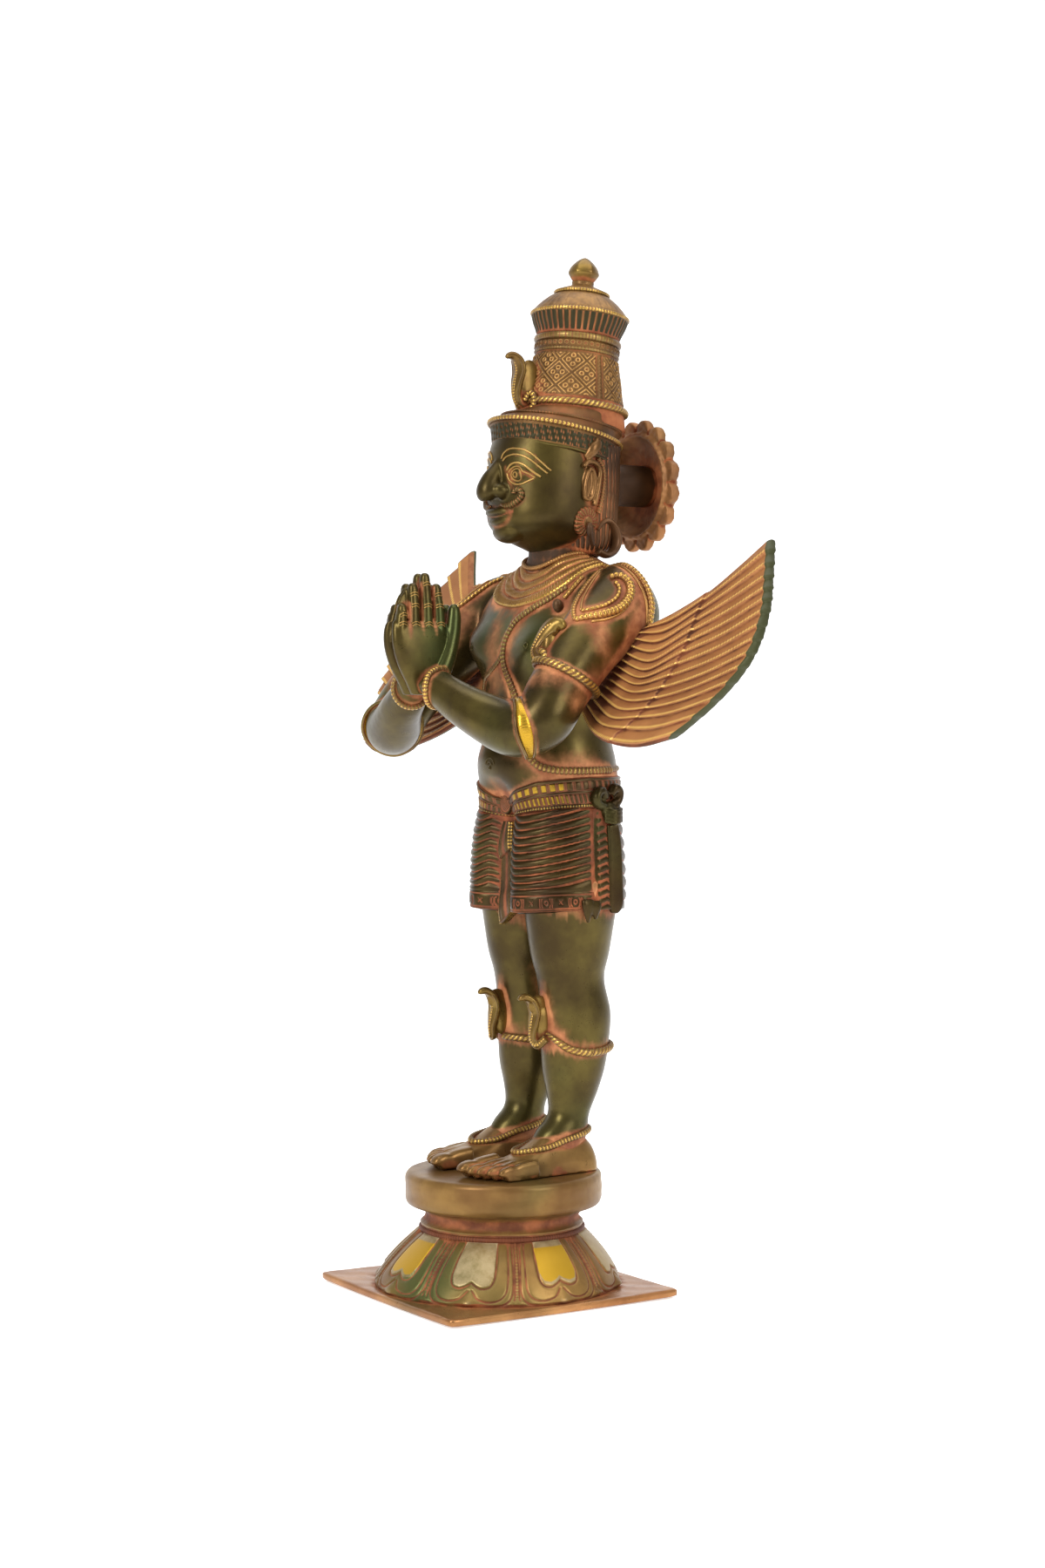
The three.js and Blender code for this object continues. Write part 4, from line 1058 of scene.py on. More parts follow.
# %% Hair
hair_levels = smooth_line([[361, 52, 20, 12, 2.2], [364, 53, 27, 17.5, 2.2], [370, 53.6, 29.8, 20.4, 2.2],
                           [380, 53.4, 31.4, 22, 2.2], [400, 52.8, 32.4, 24, 2.2],
                           [426, 52, 33, 26, 2.2]], 50)
locks = 44
theta = around(6 * locks)[None, :]
lock = np.abs(np.sin(theta * locks / 2 + 0.5 * np.sin(hair_levels[:, 0:1] * 0.12)))
strand = 0.25 * np.sin(theta * (3 * locks) + hair_levels[:, 0:1] * 0.2)
x, y = oval(theta, hair_levels[:, 2:3] + 0.9 * lock**0.7 - 0.7 + 0.25 * strand,
            hair_levels[:, 3:4] + 0.9 * lock**0.7 - 0.7 + 0.25 * strand, 2.2)
keep(level_net(
    "hair", x, y + hair_levels[:, 1:2], hair_levels[:, 0:1], groove=np.clip(1 - lock * 2.2, 0, 1),
    ridge=np.clip(lock - 0.8, 0, 1) * 1.5,
), "dark")

# %% [markdown]
# The disc behind the head stands on a short round stub. Its rim has sixteen pointed scallops, and a ridge
# parts the flange from a hollow dish.

# %% Disc
disc_middle = np.array([0, 101, 406 + sole])
scallops = 16
theta = around(18 * scallops)[None, :]
lobe_share = (theta * scallops / full_turn) % 1
scallop = 1 - (2 * lobe_share - 1) ** 2
disc_rows = np.array([
    [0, 5, 0], [6, 5, 0], [12, 5, 0], [18, 4.9, 0], [22, 4.6, 0], [24, 4.0, 0], [26, 2.2, 0],
    [27.8, 0.2, 0], [29.2, -2, 0], [30, -3.8, 0], [30.7, -4.5, 0], [31.5, -4.4, 0], [32.6, -3.3, 0.1],
    [33.4, -2.7, 0.2], [34.6, -2.6, 0.4], [35.8, -2.7, 0.6], [37, -2.8, 0.75], [38.2, -2.8, 0.9],
    [39.2, -2.6, 1], [39.8, -1.9, 1], [40, -0.8, 1], [40, 0.8, 1], [39.8, 1.9, 1], [39.2, 2.6, 1],
    [38, 2.75, 0.9], [36, 2.75, 0.6], [34, 3.2, 0.3], [32.4, 4.6, 0.1], [30.5, 6.6, 0], [26, 8.1, 0],
    [20, 8.5, 0], [12, 8.6, 0], [5, 8.6, 0], [0, 8.6, 0],
])
radius = np.maximum(disc_rows[:, 0:1] - 5 * (1 - scallop) * disc_rows[:, 2:3], 0.2)
ray = groove_at(np.minimum(lobe_share, 1 - lobe_share), 0.09) * (disc_rows[:, 2:3] > 0.15)
front_face = disc_rows[:, 1:2] < 0
depth = disc_rows[:, 1:2] + 0.8 * ray * np.where(front_face, 1, -0.6) * (disc_rows[:, 2:3] < 1)
rough = 0.25 * np.sin(radius * np.cos(theta) * 1.1) * np.sin(radius * np.sin(theta) * 1.3 + 1)
rows = np.stack([radius * np.cos(theta), depth + rough, radius * np.sin(theta)], -1) + disc_middle
disc = net("scalloped_disc", rows, groove=ray * 0.7, ridge=0.35 * (disc_rows[:, 0:1] < 23) + 0 * theta)
keep(disc, "disc", crease=60)
stub = limb("disc_stub", [[0, y, 406, 12.5, 12.5] for y in (66, 74, 86, 97, 107)], front=upward, rows=30,
            columns=48)
keep(stub, "dark")


# %% [markdown]
# The lower cloth is wound round both thighs. In front it hangs in even folds that sag a little over each
# thigh, above a hem with cut rings, brackets and crosses. A flat sash falls over each hip, with a band of
# chevrons beside it, and the folds go on wider behind. All of it is one net with the relief drawn over
# it.

# %% Lower cloth
cloth_columns = 440
hem_low, hem_high, cloth_high = 153.5, 163.0, 206.0
theta = around(cloth_columns)[None, :]
turn = np.degrees(from_front(theta))
z = np.concatenate([[152.6, 152.8], np.linspace(153.2, 206.5, 92), [207.6, 208]])[:, None]
share = np.clip((z - hem_low) / (cloth_high - hem_low), 0, 1.1)
front_share = np.clip((turn - 14) / 76, 0, 1)
line_rise = -1.8 * np.sin(math.pi * front_share**0.6) + 4.0 * front_share**2 + 2.2 * groove_at(turn - 14, 7)
phase = (z - hem_high - line_rise * soft_step(163, 170, z)) / 4.05
rib = np.abs(np.sin(math.pi * phase)) ** 0.65
fold_zone = within(turn, 5, 7, 88, 91) * soft_step(163.2, 163.8, z)
back_phase = (z - hem_high + 6 * groove_at(turn - 150, 26)) / 6.8
back_rib = np.abs(np.sin(math.pi * back_phase)) ** 0.7
pleat_zone = soft_step(164, 168, turn)
back_zone = soft_step(121, 125, turn) * (1 - pleat_zone) * soft_step(156, 158, z)
pleat = np.abs(np.sin((turn - 180) / 5.2 * math.pi))
chevron_zone = within(turn, 92, 94, 107, 109)
chevron = wave(full_turn * (z / 4.2 + np.abs(turn - 100.5) * 0.05))
panel_zone = within(turn, 109, 111, 120, 122)
hem_zone = (1 - fold_zone) * soft_step(5, 8, turn) * (1 - soft_step(88, 91, turn)) * (z < 163.4)

# The hem's motifs repeat along it: a ring between two brackets, then a cross.
motif_run = 19.0
run = turn * 0.82
u = np.abs((run + 4.5) % motif_run - motif_run / 2)
v = z - 158.6
ring_gap = np.abs(np.hypot(u, v) - 1.15)
from_middle = np.hypot(u, v * 0.8)
bracket_gap = np.minimum(np.abs(from_middle - 3.0), np.abs(from_middle - 4.3)) + 9 * (np.abs(v) > 2.6)
w = motif_run / 2 - u
cross_gap = np.abs(np.abs(v) - w) + 9 * (w > 1.3)
motif = groove_at(np.minimum(np.minimum(ring_gap, bracket_gap), cross_gap), 0.42)
edge_lines = groove_at(z - 162.4, 0.4) + groove_at(z - 155.2, 0.4) + groove_at(z - 154.0, 0.35)
hem_cut = np.clip(motif + edge_lines, 0, 1) * hem_zone

relief = fold_zone * (1.9 * rib - 1.3) + hem_zone * 0.7 - 0.55 * hem_cut
relief = relief + back_zone * (2.2 * back_rib - 1.2) + pleat_zone * (1.6 * pleat + 0.4)
relief = relief + chevron_zone * (0.9 + 0.45 * chevron) + panel_zone * 1.7
relief = relief - groove_at(turn - 109.4, 0.8) * 0.7 - groove_at(turn - 91.4, 0.8) * 0.6
tuck = 5.0 * (1 - soft_step(152.9, 153.8, z)) + 6.0 * soft_step(206.4, 207.6, z)
deep = np.interp(z, [152, 170, 185, 196, 204, 209], [41.6, 42.2, 41.4, 39.6, 37, 35.6])
x, y = oval(theta, 50.5 - 2.5 * share + relief - tuck, deep + relief - tuck, 2.2)
parting = np.where(y < 0, (deep - 25.5) * np.exp(-(np.abs(x / 15) ** 2.4)), 0)
hang = 2.2 * np.sin(theta) ** 2 * (1 - share)
top_rise = np.interp(turn, [0, 20, 55, 90, 180], [0, 1.5, 5, 6, 6]) * np.clip(share, 0, 1) ** 1.5
rows = np.stack([x, 35 + y + parting, z - hang + top_rise + 1 + sole + 0 * theta], -1)
groove = fold_zone * groove_at(np.abs((phase + 0.5) % 1 - 0.5), 0.11)
groove = groove + hem_cut + back_zone * groove_at(np.abs((back_phase + 0.5) % 1 - 0.5), 0.12)
groove = groove + chevron_zone * 0.9 * (1 - chevron) ** 2
groove = groove + groove_at(turn - 109.4, 1.2) + groove_at(turn - 90, 1.6)
groove = groove + pleat_zone * np.clip(0.7 - pleat * 2, 0, 1) + 0.9 * (1 - soft_step(3, 6, turn))
lower_cloth = net("lower_cloth", rows, groove=np.clip(groove, 0, 1),
                  bare=panel_zone * 0.8 + fold_zone * 0.35)
keep(lower_cloth, "cloth")

# %% [markdown]
# Belts lie in a broad band over the hips, drawn down to a medallion in front. Between cords run two flat
# gold strips with upright ticks.

# %% Belts
belt_run = 0.8
theta = around(440)[None, :]
turn = np.degrees(from_front(theta))
v = np.linspace(-1.22, 1.22, 50)[:, None]
middle = np.interp(turn, [0, 10, 22, 42, 65, 90, 130, 180],
                   [212.6, 213.6, 216.6, 220, 221.8, 222.6, 222.6, 223])
half = np.interp(turn, [0, 12, 25, 45, 90, 180], [5.2, 5.8, 7.0, 8.2, 8.5, 8.6])
z = middle + v * half
run = turn * belt_run
strip_edge = 0.05


def strip(low, high):
    """A band of the belts, between two shares of their height."""
    return within(v, low - strip_edge, low + strip_edge, high - strip_edge, high + strip_edge)


top_cord, low_cord, thin_cord = strip(0.84, 0.98), strip(-0.96, -0.76), strip(0.02, 0.12)
first, second = strip(0.24, 0.76), strip(-0.66, -0.08)
pair = groove_at((run % 5.6) - 2.2, 0.4) + groove_at((run % 5.6) - 3.4, 0.4)
leaf = wave(full_turn * (run / 3.1 + v * 0.5))
fine = wave(full_turn * run / 1.9)
relief = 0.9 * (first + second) + 0.9 * top_cord + (0.7 + 0.5 * fine) * low_cord + 0.55 * thin_cord
relief = relief - 0.45 * first * pair - 0.45 * second * (1 - leaf) ** 2
buried = 3.4 * soft_step(1.0, 1.2, np.abs(v))
rows = trunk_point(theta, z, 0.9 + relief - buried)
bright = (1 - soft_step(60, 84, turn)) * soft_step(10, 22, turn)
field = np.clip(first * (1 - pair) + second * leaf**0.5, 0, 1)
between = np.clip(1 - first - second - top_cord - low_cord - thin_cord, 0, 1)
cut = np.clip(0.55 * between + first * pair + second * (1 - leaf) ** 2, 0, 1) * (np.abs(v) < 1.1)
keep(net(
    "belts", rows, groove=cut + 0 * z,
    ridge=field * 0.35 * (1 - bright) + (top_cord + thin_cord) * 0.35 + low_cord * fine * 0.8,
    gilt=field * bright * 0.56,
), "belt")

# %% [markdown]
# Small raised shapes are oval domes: a net from the rim to the middle, laid on a place and turned to face
# outwards.

# %% Small domes
def dome(name, centre, out, top, half_wide, half_high, rise, rows, columns, back, relief=None):
    """A dome on a place. out is the way that it faces and top the way of its height; relief gives a height
    and marks from the share of the way to the rim and the angle."""
    out = np.array(out, float) / np.linalg.norm(out)
    side = np.cross(np.array(top, float), out)
    side /= np.linalg.norm(side)
    top = np.cross(out, side)
    angle = around(columns)[None, :]
    inward = np.linspace(1, 0.04, rows)
    share = np.concatenate([[1.0, 1.0], inward])[:, None]
    lift = np.concatenate([[-back, -0.3], rise * np.sqrt(np.clip(1 - inward**2, 0, 1))])[:, None]
    a = half_wide * share * np.cos(angle)
    b = half_high * share * np.sin(angle)
    marks = {}
    if relief:
        extra, marks = relief(share + 0 * angle, angle + 0 * share)
        lift = lift + extra
    place = np.array([centre[0], centre[1], centre[2] + sole], float)
    points = place + a[..., None] * side + b[..., None] * top + (lift + 0 * angle)[..., None] * out
    return net(name, points, **marks)


medallion_wide, medallion_high = 6.0, 7.4
hatch_pitch = 1.5


def hatch(share, angle):
    """Crossing lines inside a plain rim."""
    a = medallion_wide * share * np.cos(angle)
    b = medallion_high * share * np.sin(angle)
    lines = [groove_at(np.abs((way / hatch_pitch) % 1 - 0.5), 0.2) for way in (a + b, a - b)]
    lines = np.maximum(*lines) * (share < 0.74)
    rim = groove_at(share - 0.86, 0.06)
    marks = {"groove": np.clip(lines + groove_at(share - 0.76, 0.05), 0, 1), "ridge": rim * 0.5}
    return 0.7 * rim - 0.35 * lines, marks


keep(dome("belt_medallion", (0, 8.0, 216.0), (0.12, -1, 0.05), upward, medallion_wide, medallion_high, 3.4,
          rows=26, columns=72, back=4, relief=hatch), "belt")

# %% [markdown]
# Two pleated ends of the sash hang one over the other between the thighs; each ends in a slanted point.

# %% Sash ends
def sash_end(name, levels, slant, pleats):
    """A pleated end hanging in front: levels of [z, place across, half width, half thickness]."""
    levels = smooth_line(levels, 56)
    angle = around(60)[None, :]
    across, out = np.array([1.0, 0, 0]), np.array([0, -1.0, 0])
    a, b = oval(angle, levels[:, 2:3], levels[:, 3:4], 3.4)
    share = a / levels[:, 2:3]
    fold = np.abs(np.sin(share * pleats * math.pi / 2))
    b = b + np.where(np.sin(angle) > 0, 0.8 * fold, 0)
    low = soft_step(0, 1, (levels[0, 0] - levels[:, 0:1]) / (levels[0, 0] - levels[-1, 0]))
    z = levels[:, 0:1] + slant * (share + 1) * levels[:, 2:3] * low
    place = np.array([0, 9.6, sole]) + (levels[:, 1:2] + a)[..., None] * across + b[..., None] * out
    place = place + z[..., None] * np.array([0, 0, 1])
    tick = wave(full_turn * z / 2.0) * groove_at(np.abs(share) - 0.86, 0.12)
    return net(name, place, groove=np.clip(0.75 - fold * 1.8, 0, 1),
               ridge=np.clip(fold - 0.45 + tick, 0, 1) * 0.9)


low_end = [[190, 0.4, 6.8, 2.8], [176, 0.2, 7.8, 2.8], [163, 0, 8.6, 3.0], [157, 0, 9.2, 3.8],
           [149, 0, 9.6, 3.8], [143.6, 0, 9.2, 3.0]]
high_end = [[205, 2, 4.4, 4.2], [198, 1.4, 6.0, 5.2], [191, 0.6, 7.0, 5.6], [185.6, 0.2, 7.2, 5.4],
            [182.4, 0, 6.8, 4.4]]
keep(sash_end("sash_end_low", low_end, 0.62, 7), "belt")
keep(sash_end("sash_end_high", high_end, 0.52, 7), "belt")

# %% [markdown]
# On each hip the sash is knotted: two round loops over a few wound cords, and loose ends that reach the
# hem.

# %% Hip knots
def hip_knot(side):
    loops = [
        [(47, 44, 219.5), (49, 41, 223.4), (50, 37, 221.5), (49.6, 37.4, 216.5), (48, 42.4, 214.4)],
        [(47, 48, 221.5), (47.8, 51, 225), (46.6, 54.6, 222.5), (46.4, 53.6, 217.4), (47, 49.6, 215)],
    ]
    made = []
    for line in loops:
        stations = [[*place, 2.9, 3.9] for place in line]
        made.append(limb("knot_form", stations, front=sideways, side=side, rows=40, columns=28))
    made.append(ball("knot_form", (47.6, 46.6, 211.5), (4.8, 5.4, 6), side))
    for k in range(4):
        wind = [[50, 42.5, 212.8 - 2.3 * k, 1.2, 1.4], [53.2, 48.5, 211.8 - 2.3 * k, 1.2, 1.4],
                [50, 54.5, 212.8 - 2.3 * k, 1.2, 1.4]]
        made.append(limb("knot_form", wind, front=sideways, side=side, rows=24, columns=16))
    tail = [[48.6, 49, 204, 4.2, 2], [48.8, 50.5, 190, 4.8, 1.8], [49, 51, 168, 5.2, 1.8],
            [48.8, 51, 157, 5.2, 2], [48.2, 50.4, 152, 2.4, 1.4]]
    made.append(limb("knot_form", tail, front=sideways, side=side, rows=60, columns=28, power=3))
    for place, deep in (((51, 30, 157), 10), ((50.6, 35.5, 156), 7)):
        point = [[place[0], place[1], place[2] + 4, 3.6, 1.6],
                 [place[0] + 0.6, place[1], place[2], 3.8, 1.9],
                 [place[0] + 0.2, place[1] + 0.4, place[2] - deep, 0.8, 0.8]]
        made.append(limb("knot_form", point, front=sideways, side=side, rows=24, columns=20, power=3))
    return fused(sided("hip_knot", side), made, 0.8, 2)


for side in (1, -1):
    keep(hip_knot(side), "cloth")


# %% [markdown]
# Lines on the face are thin raised threads laid on the skin. A helper lays a line on a skin from a few
# places, given with z from the soles, and either drops it straight from outside or moves it to the
# nearest point.

# %% Threads and ribbons laid on a skin
def along_skin(tree, places, side=1, direction=None, lift=0.0, loop=False, spacing=1.5):
    """Places [x, y, z] smoothed, moved onto the skin, with the way that the skin faces there."""
    spots = np.asarray(places, float) * [side, 1, 1] + [0, 0, sole]
    run = length_of(np.vstack([spots, spots[:1]]) if loop else spots)
    line = smooth_line(spots, max(6, int(run / spacing)), loop)
    return laid_on(tree, line, direction, lift)


def thread(name, tree, places, half, side=1, direction=None, lift=None, loop=False, **settings):
    """A cord laid along places of a skin."""
    high = settings.get("high") or half
    lift = high * 0.35 if lift is None else lift
    spots, normals = along_skin(tree, places, side, direction, lift, loop)
    return rope(name, spots, normals, half, loop=loop, **settings)


def plain(name, tree, places, half=0.55, **settings):
    """A thin plain thread."""
    settings = {"pitch": 40, "columns": 8, "step": 0.8, "gold": 0.45, **settings}
    return thread(name, tree, places, half, **settings)


ribbon_spacing = 0.62
ribbon_across = 8
ribbon_gold = 0.7


def ribbon(name, tree, low, high, rise, pitch, slant, edge):
    """A raised band between two lines of a skin, with slanted strokes across it."""
    low, high = (np.asarray(line, float) + [0, 0, sole] for line in (low, high))
    count = int(length_of(smooth_line(low, 60)) / ribbon_spacing)
    a, b = smooth_line(low, count), smooth_line(high, count)
    v = np.linspace(0, 1, ribbon_across)
    flat = a[:, None] * (1 - v[None, :, None]) + b[:, None] * v[None, :, None]
    spots, normals = laid_on(tree, flat.reshape(-1, 3))
    spots, normals = spots.reshape(flat.shape), normals.reshape(flat.shape)
    run = np.concatenate([[0], np.cumsum(np.linalg.norm(np.diff(a, axis=0), axis=1))])[:, None]
    stroke = wave(full_turn * (run / pitch + v * slant))
    swell = np.sin(math.pi * v) ** 0.55
    rim = groove_at(v - 0.14, 0.09) * edge
    lift = rise * swell * (0.72 + 0.28 * stroke * (1 - 0.6 * rim)) + rise * 0.35 * rim - 0.15
    top = spots + normals * lift[..., None]
    under = spots[:, [-1, 0]] - normals[:, [-1, 0]] * 0.9
    rows = np.concatenate([top, under], 1)
    pad = np.zeros((count, 2))
    cut = np.clip((1 - stroke) * 0.75 * (1 - rim) + (1 - swell) * 0.9, 0, 1)
    tops = np.clip(stroke * swell * ribbon_gold + rim * 0.8, 0, 1)
    groove, ridge = (np.concatenate([part, pad], 1) for part in (cut, tops))
    return net(name, rows, groove=groove, ridge=ridge)


# %% [markdown]
# Two ridges make each brow, three lines and two rings make each eye, and a moustache curls up beside each
# nostril. Patina is marked beside these lines, round the lips, beside the nose and at the corners of the
# eyes.

# %% Face lines
face_in = (0, 1, 0)
brow_high = [(5.2, 0, 417), (6.6, 0, 419.8), (10.9, 0, 422.4), (17.5, 0, 422), (22.2, 0, 419.8),
             (26.1, 0, 415.3), (29.9, 0, 409)]
brow_low = [(6.4, 0, 415.6), (9.4, 0, 418.0), (15.1, 0, 419), (20.2, 0, 417.4), (24.4, 0, 413.8),
            (29.0, 0, 407.4)]
lid_high = [(9.8, 0, 409.8), (12, 0, 412.8), (15.8, 0, 414.2), (20, 0, 412.6), (23.4, 0, 409.2),
            (27, 0, 405.4)]
lid_low = [(11, 0, 408.4), (13, 0, 410.8), (15.8, 0, 411.9), (19, 0, 410.8), (22, 0, 407.8), (25, 0, 405)]
eye_low = [(10, 0, 408.4), (11.2, 0, 404.8), (13.8, 0, 402.4), (17, 0, 401.4), (20.2, 0, 402),
           (24.6, 0, 404.6)]
moustache = [(5.4, 0, 390), (9, 0, 389.2), (13.6, 0, 390), (17.6, 0, 392.2), (19.4, 0, 395.4),
             (18.2, 0, 398.2), (15.6, 0, 398.0), (15.2, 0, 396.2)]


def ring_of(middle, radius, count=10):
    """Places of a small ring in the plane of the face."""
    return [(middle[0] + radius * math.cos(a), 0, middle[1] + radius * math.sin(a)) for a in around(count)]


lines = []
for side in (1, -1):
    at = {"side": side, "direction": face_in}
    for line in (brow_high, brow_low):
        lines.append(plain("brow", head_tree, line, 0.5, high=0.6, **at))
    for line, half in ((lid_high, 0.65), (lid_low, 0.42), (eye_low, 0.55)):
        lines.append(plain("lid", head_tree, line, half, **at))
    lines.append(plain("iris", head_tree, ring_of((17.2, 406.9), 3.5), 0.4, loop=True, **at))
    lines.append(plain("pupil", head_tree, ring_of((17.2, 406.9), 1.5, 8), 0.4, loop=True, **at))
face_lines = joined_as("face_lines", lines)
keep(face_lines, "face")
mouth = [(-14, 0, 386), (-9, 0, 384.4), (0, 0, 383.4), (9, 0, 384.4), (14, 0, 386)]
round_lips = [(-13, 0, 385), (-7, 0, 389.6), (0, 0, 389), (7, 0, 389.6), (13, 0, 385), (8, 0, 379.4),
              (0, 0, 377.6), (-8, 0, 379.4)]
stains = np.vstack([points_of(face_lines)[::9], along_skin(head_tree, mouth, direction=face_in)[0]])
soaked = np.vstack([along_skin(head_tree, round_lips, direction=face_in, loop=True)[0]] + [
    along_skin(head_tree, places, side, face_in)[0]
    for side in (1, -1)
    for places in (
        [(8.4, 0, 412), (9.6, 0, 407), (12, 0, 402.4), (14, 0, 399)],
        [(11, 0, 389.4), (16, 0, 389), (21, 0, 392.6)],
        [(12.4, 0, 409), (13, 0, 404.6)], [(21.4, 0, 408), (23.4, 0, 405.6)],
    )
])


def near_places(skin, places, reach):
    """For each point of a skin, 1 on a place and less with distance."""
    tree = KDTree(len(places))
    for index, place in enumerate(places):
        tree.insert(place, index)
    tree.balance()
    gap = np.array([tree.find(point)[2] for point in points_of(skin)])
    return np.exp(-((gap / reach) ** 2))


face_patina = 0.75 * near_places(head, stains, 0.8) + 0.6 * near_places(head, soaked, 2.0)
put_mark(head, "groove", np.clip(face_patina, 0, 1))

hairs = []
for side in (1, -1):
    hairs.append(thread("moustache", head_tree, moustache, 2.0, high=1.9, side=side, direction=face_in,
                        pitch=1.8, lobes=1, depth=0.16, columns=14, step=0.4, gold=0.15,
                        taper=[0.3, 0.8, 1, 1, 1, 0.95, 0.9]))
keep(joined_as("moustaches", hairs), "skin")

# %% [markdown]
# Each ear is a long hanging loop, ridged twice, with a row of short strokes behind it. A rayed flower
# hangs from it with a bud, and a smooth cord loops from behind it to the shoulder.

# %% Ears and earrings
ear_inner = [(34, 42.4, 411), (34, 45.6, 408), (34, 45.2, 400), (34, 43.2, 394), (34, 39.4, 393.6),
             (34, 38.6, 398), (34, 39.6, 405)]
ear_outer = [(33.6, 37.6, 412), (33.6, 41, 415), (33.4, 45.6, 414.6), (33, 49.4, 410.8), (32.8, 48.8, 404),
             (32.8, 47.2, 397), (32.8, 45.6, 390)]
ear_strokes = [(33, 48.6, 417.6), (31.8, 52.4, 413.4), (31, 54, 407), (31.2, 53, 399), (31.4, 51.2, 391),
               (31.4, 50.2, 385.6)]
rays = 19


def ear(side):
    """The loop of an ear, its ridges and the fin above it."""
    made = [
        thread("ear_form", head_tree, ear_inner, 1.25, high=1.9, side=side, loop=True, pitch=40, step=0.8,
               gold=0.35, lift=1.3),
        thread("ear_form", head_tree, ear_outer, 1.5, high=2.3, side=side, pitch=40, step=0.8, gold=0.35,
               lift=1.5),
        ball("ear_form", (31.4, 42, 403), (3.4, 5.4, 12), side),
    ]
    fin = [[33, 40.5, 417.5, 2.4, 2.4], [35.4, 43.6, 421.5, 3.6, 2.8], [35.8, 46.6, 425.4, 3.4, 2.2],
           [35.4, 47.2, 429.6, 1.0, 0.8]]
    made.append(limb("ear_form", fin, front=sideways, side=side, rows=30, columns=20))
    return fused(sided("ear", side), made, 0.6, 2)


def petals_round(share, angle):
    """Narrow petals round a raised ring."""
    ray = wave(angle * rays)
    zone = soft_step(0.42, 0.5, share)
    cut = zone * (1 - ray) ** 1.5
    middle = groove_at(share - 0.3, 0.1)
    cut = np.clip(cut + groove_at(share - 0.44, 0.06), 0, 1)
    marks = {"groove": cut, "ridge": zone * ray * 0.35 + middle * 0.3}
    return 0.9 * zone * ray**0.7 - 0.5 * zone + 0.5 * middle, marks


for side in (1, -1):
    keep(ear(side), "ear")
    strokes = thread("ear_strokes", head_tree, ear_strokes, 1.7, high=1.5, side=side, lobes=1, pitch=1.9,
                     depth=0.3, columns=10, step=0.42, gold=0.5, lift=1.2)
    keep(strokes, "ear")
    flower = dome("earring", (32.2 * side, 41.4, 380.4), (side, 0.02, -0.22), upward, 7.6, 8.6, 2.2,
                  rows=16, columns=6 * rays, back=3.5, relief=petals_round)
    keep(flower, "ear")
    bud = [[35, 41.8, 379.5, 1.2, 1.2], [35.4, 41.9, 377, 2.2, 2.1], [35.2, 42.2, 373.8, 1.9, 1.9],
           [34.2, 43.6, 370.2, 1.4, 1.4], [32.2, 46.2, 367, 1.7, 1.6]]
    keep(limb("earring_bud", bud, front=sideways, side=side, rows=30, columns=16), "dark")
    curl = [[29, 50.6, 376, 1.6, 3], [29.6, 53.4, 380.4, 1.7, 3.6], [30, 58.2, 381.4, 1.9, 4],
            [30.4, 62.6, 377.2, 2.1, 4.4], [30.6, 64.2, 370.4, 2.2, 4.6], [30.8, 61.6, 364, 2.1, 4.6],
            [31, 56.4, 361.4, 2, 4], [31, 50.6, 363.4, 2, 3.4]]
    keep(limb("ear_curl", curl, front=sideways, side=side, rows=70, columns=20), "dark")


# %% [markdown]
# A broad necklace of draped bands lies on the chest. Its lines were found on one side and are the same on
# the other.

# %% Necklace
def both_ways(half_line):
    """A line over the whole chest from its half on one side, middle first."""
    other = [(-x, y, z) for x, y, z in half_line[::-1]]
    return other + list(half_line)


drapes = [
    [(5.5, 12.3, 330.6), (21, 14.2, 332.8), (33, 18.4, 337), (40, 25.2, 343.5), (43.5, 36.7, 352.0),
     (44, 46, 356)],
    [(5.5, 15.4, 336.2), (20, 18.6, 339.8), (30, 24.6, 345.6), (35.5, 31, 350.6), (38, 39, 354.6),
     (38, 47, 358)],
    [(5.2, 18.6, 341.0), (16, 22, 344.4), (25, 27.6, 350), (30, 33.6, 354.2), (32, 40.5, 357.2),
     (32, 48, 359.6)],
    [(4.6, 22.4, 346.6), (12.6, 24.6, 349.2), (20, 29.4, 353.6), (25, 35, 356.8), (26.8, 42, 359.4),
     (27, 48, 361)],
    [(3.6, 26, 351.6), (9.6, 27.6, 353), (16, 31, 356), (20.4, 36.4, 358.8), (22.2, 43, 360.8),
     (22.6, 49, 362)],
]
# Each band has its rise, the pitch and slant of its strokes, and the strength of its edge.
band_looks = [(2.6, 2.2, 0.9, 1), (1.9, 2.0, 0.6, 0.4), (1.8, 1.9, -0.6, 0.4), (1.6, 1.8, 0.5, 0.3)]
bands = [
    ribbon("necklace_band", body_tree, both_ways(low), both_ways(high), *look)
    for low, high, look in zip(drapes, drapes[1:], band_looks)
]
keep(joined_as("necklace", bands), "collar")
neck_line = [(3.4, 25.6, 354.4), (10, 27.2, 355.4), (17, 31.8, 357.6), (20.6, 38, 360.2), (20.6, 46, 361.4),
             (17, 56, 361.6), (7, 63.4, 361.4)]
keep(thread("neck_ring", body_tree, both_ways(neck_line), 1.5, high=1.6, loop=True, beads=0.22, pitch=1.8,
            columns=10, step=0.45, gold=0.4, lift=0.9), "collar")

# %% [markdown]
# The sacred thread comes from under the necklace at the left shoulder, falls over the breastbone, parts
# in two and goes round the waist.

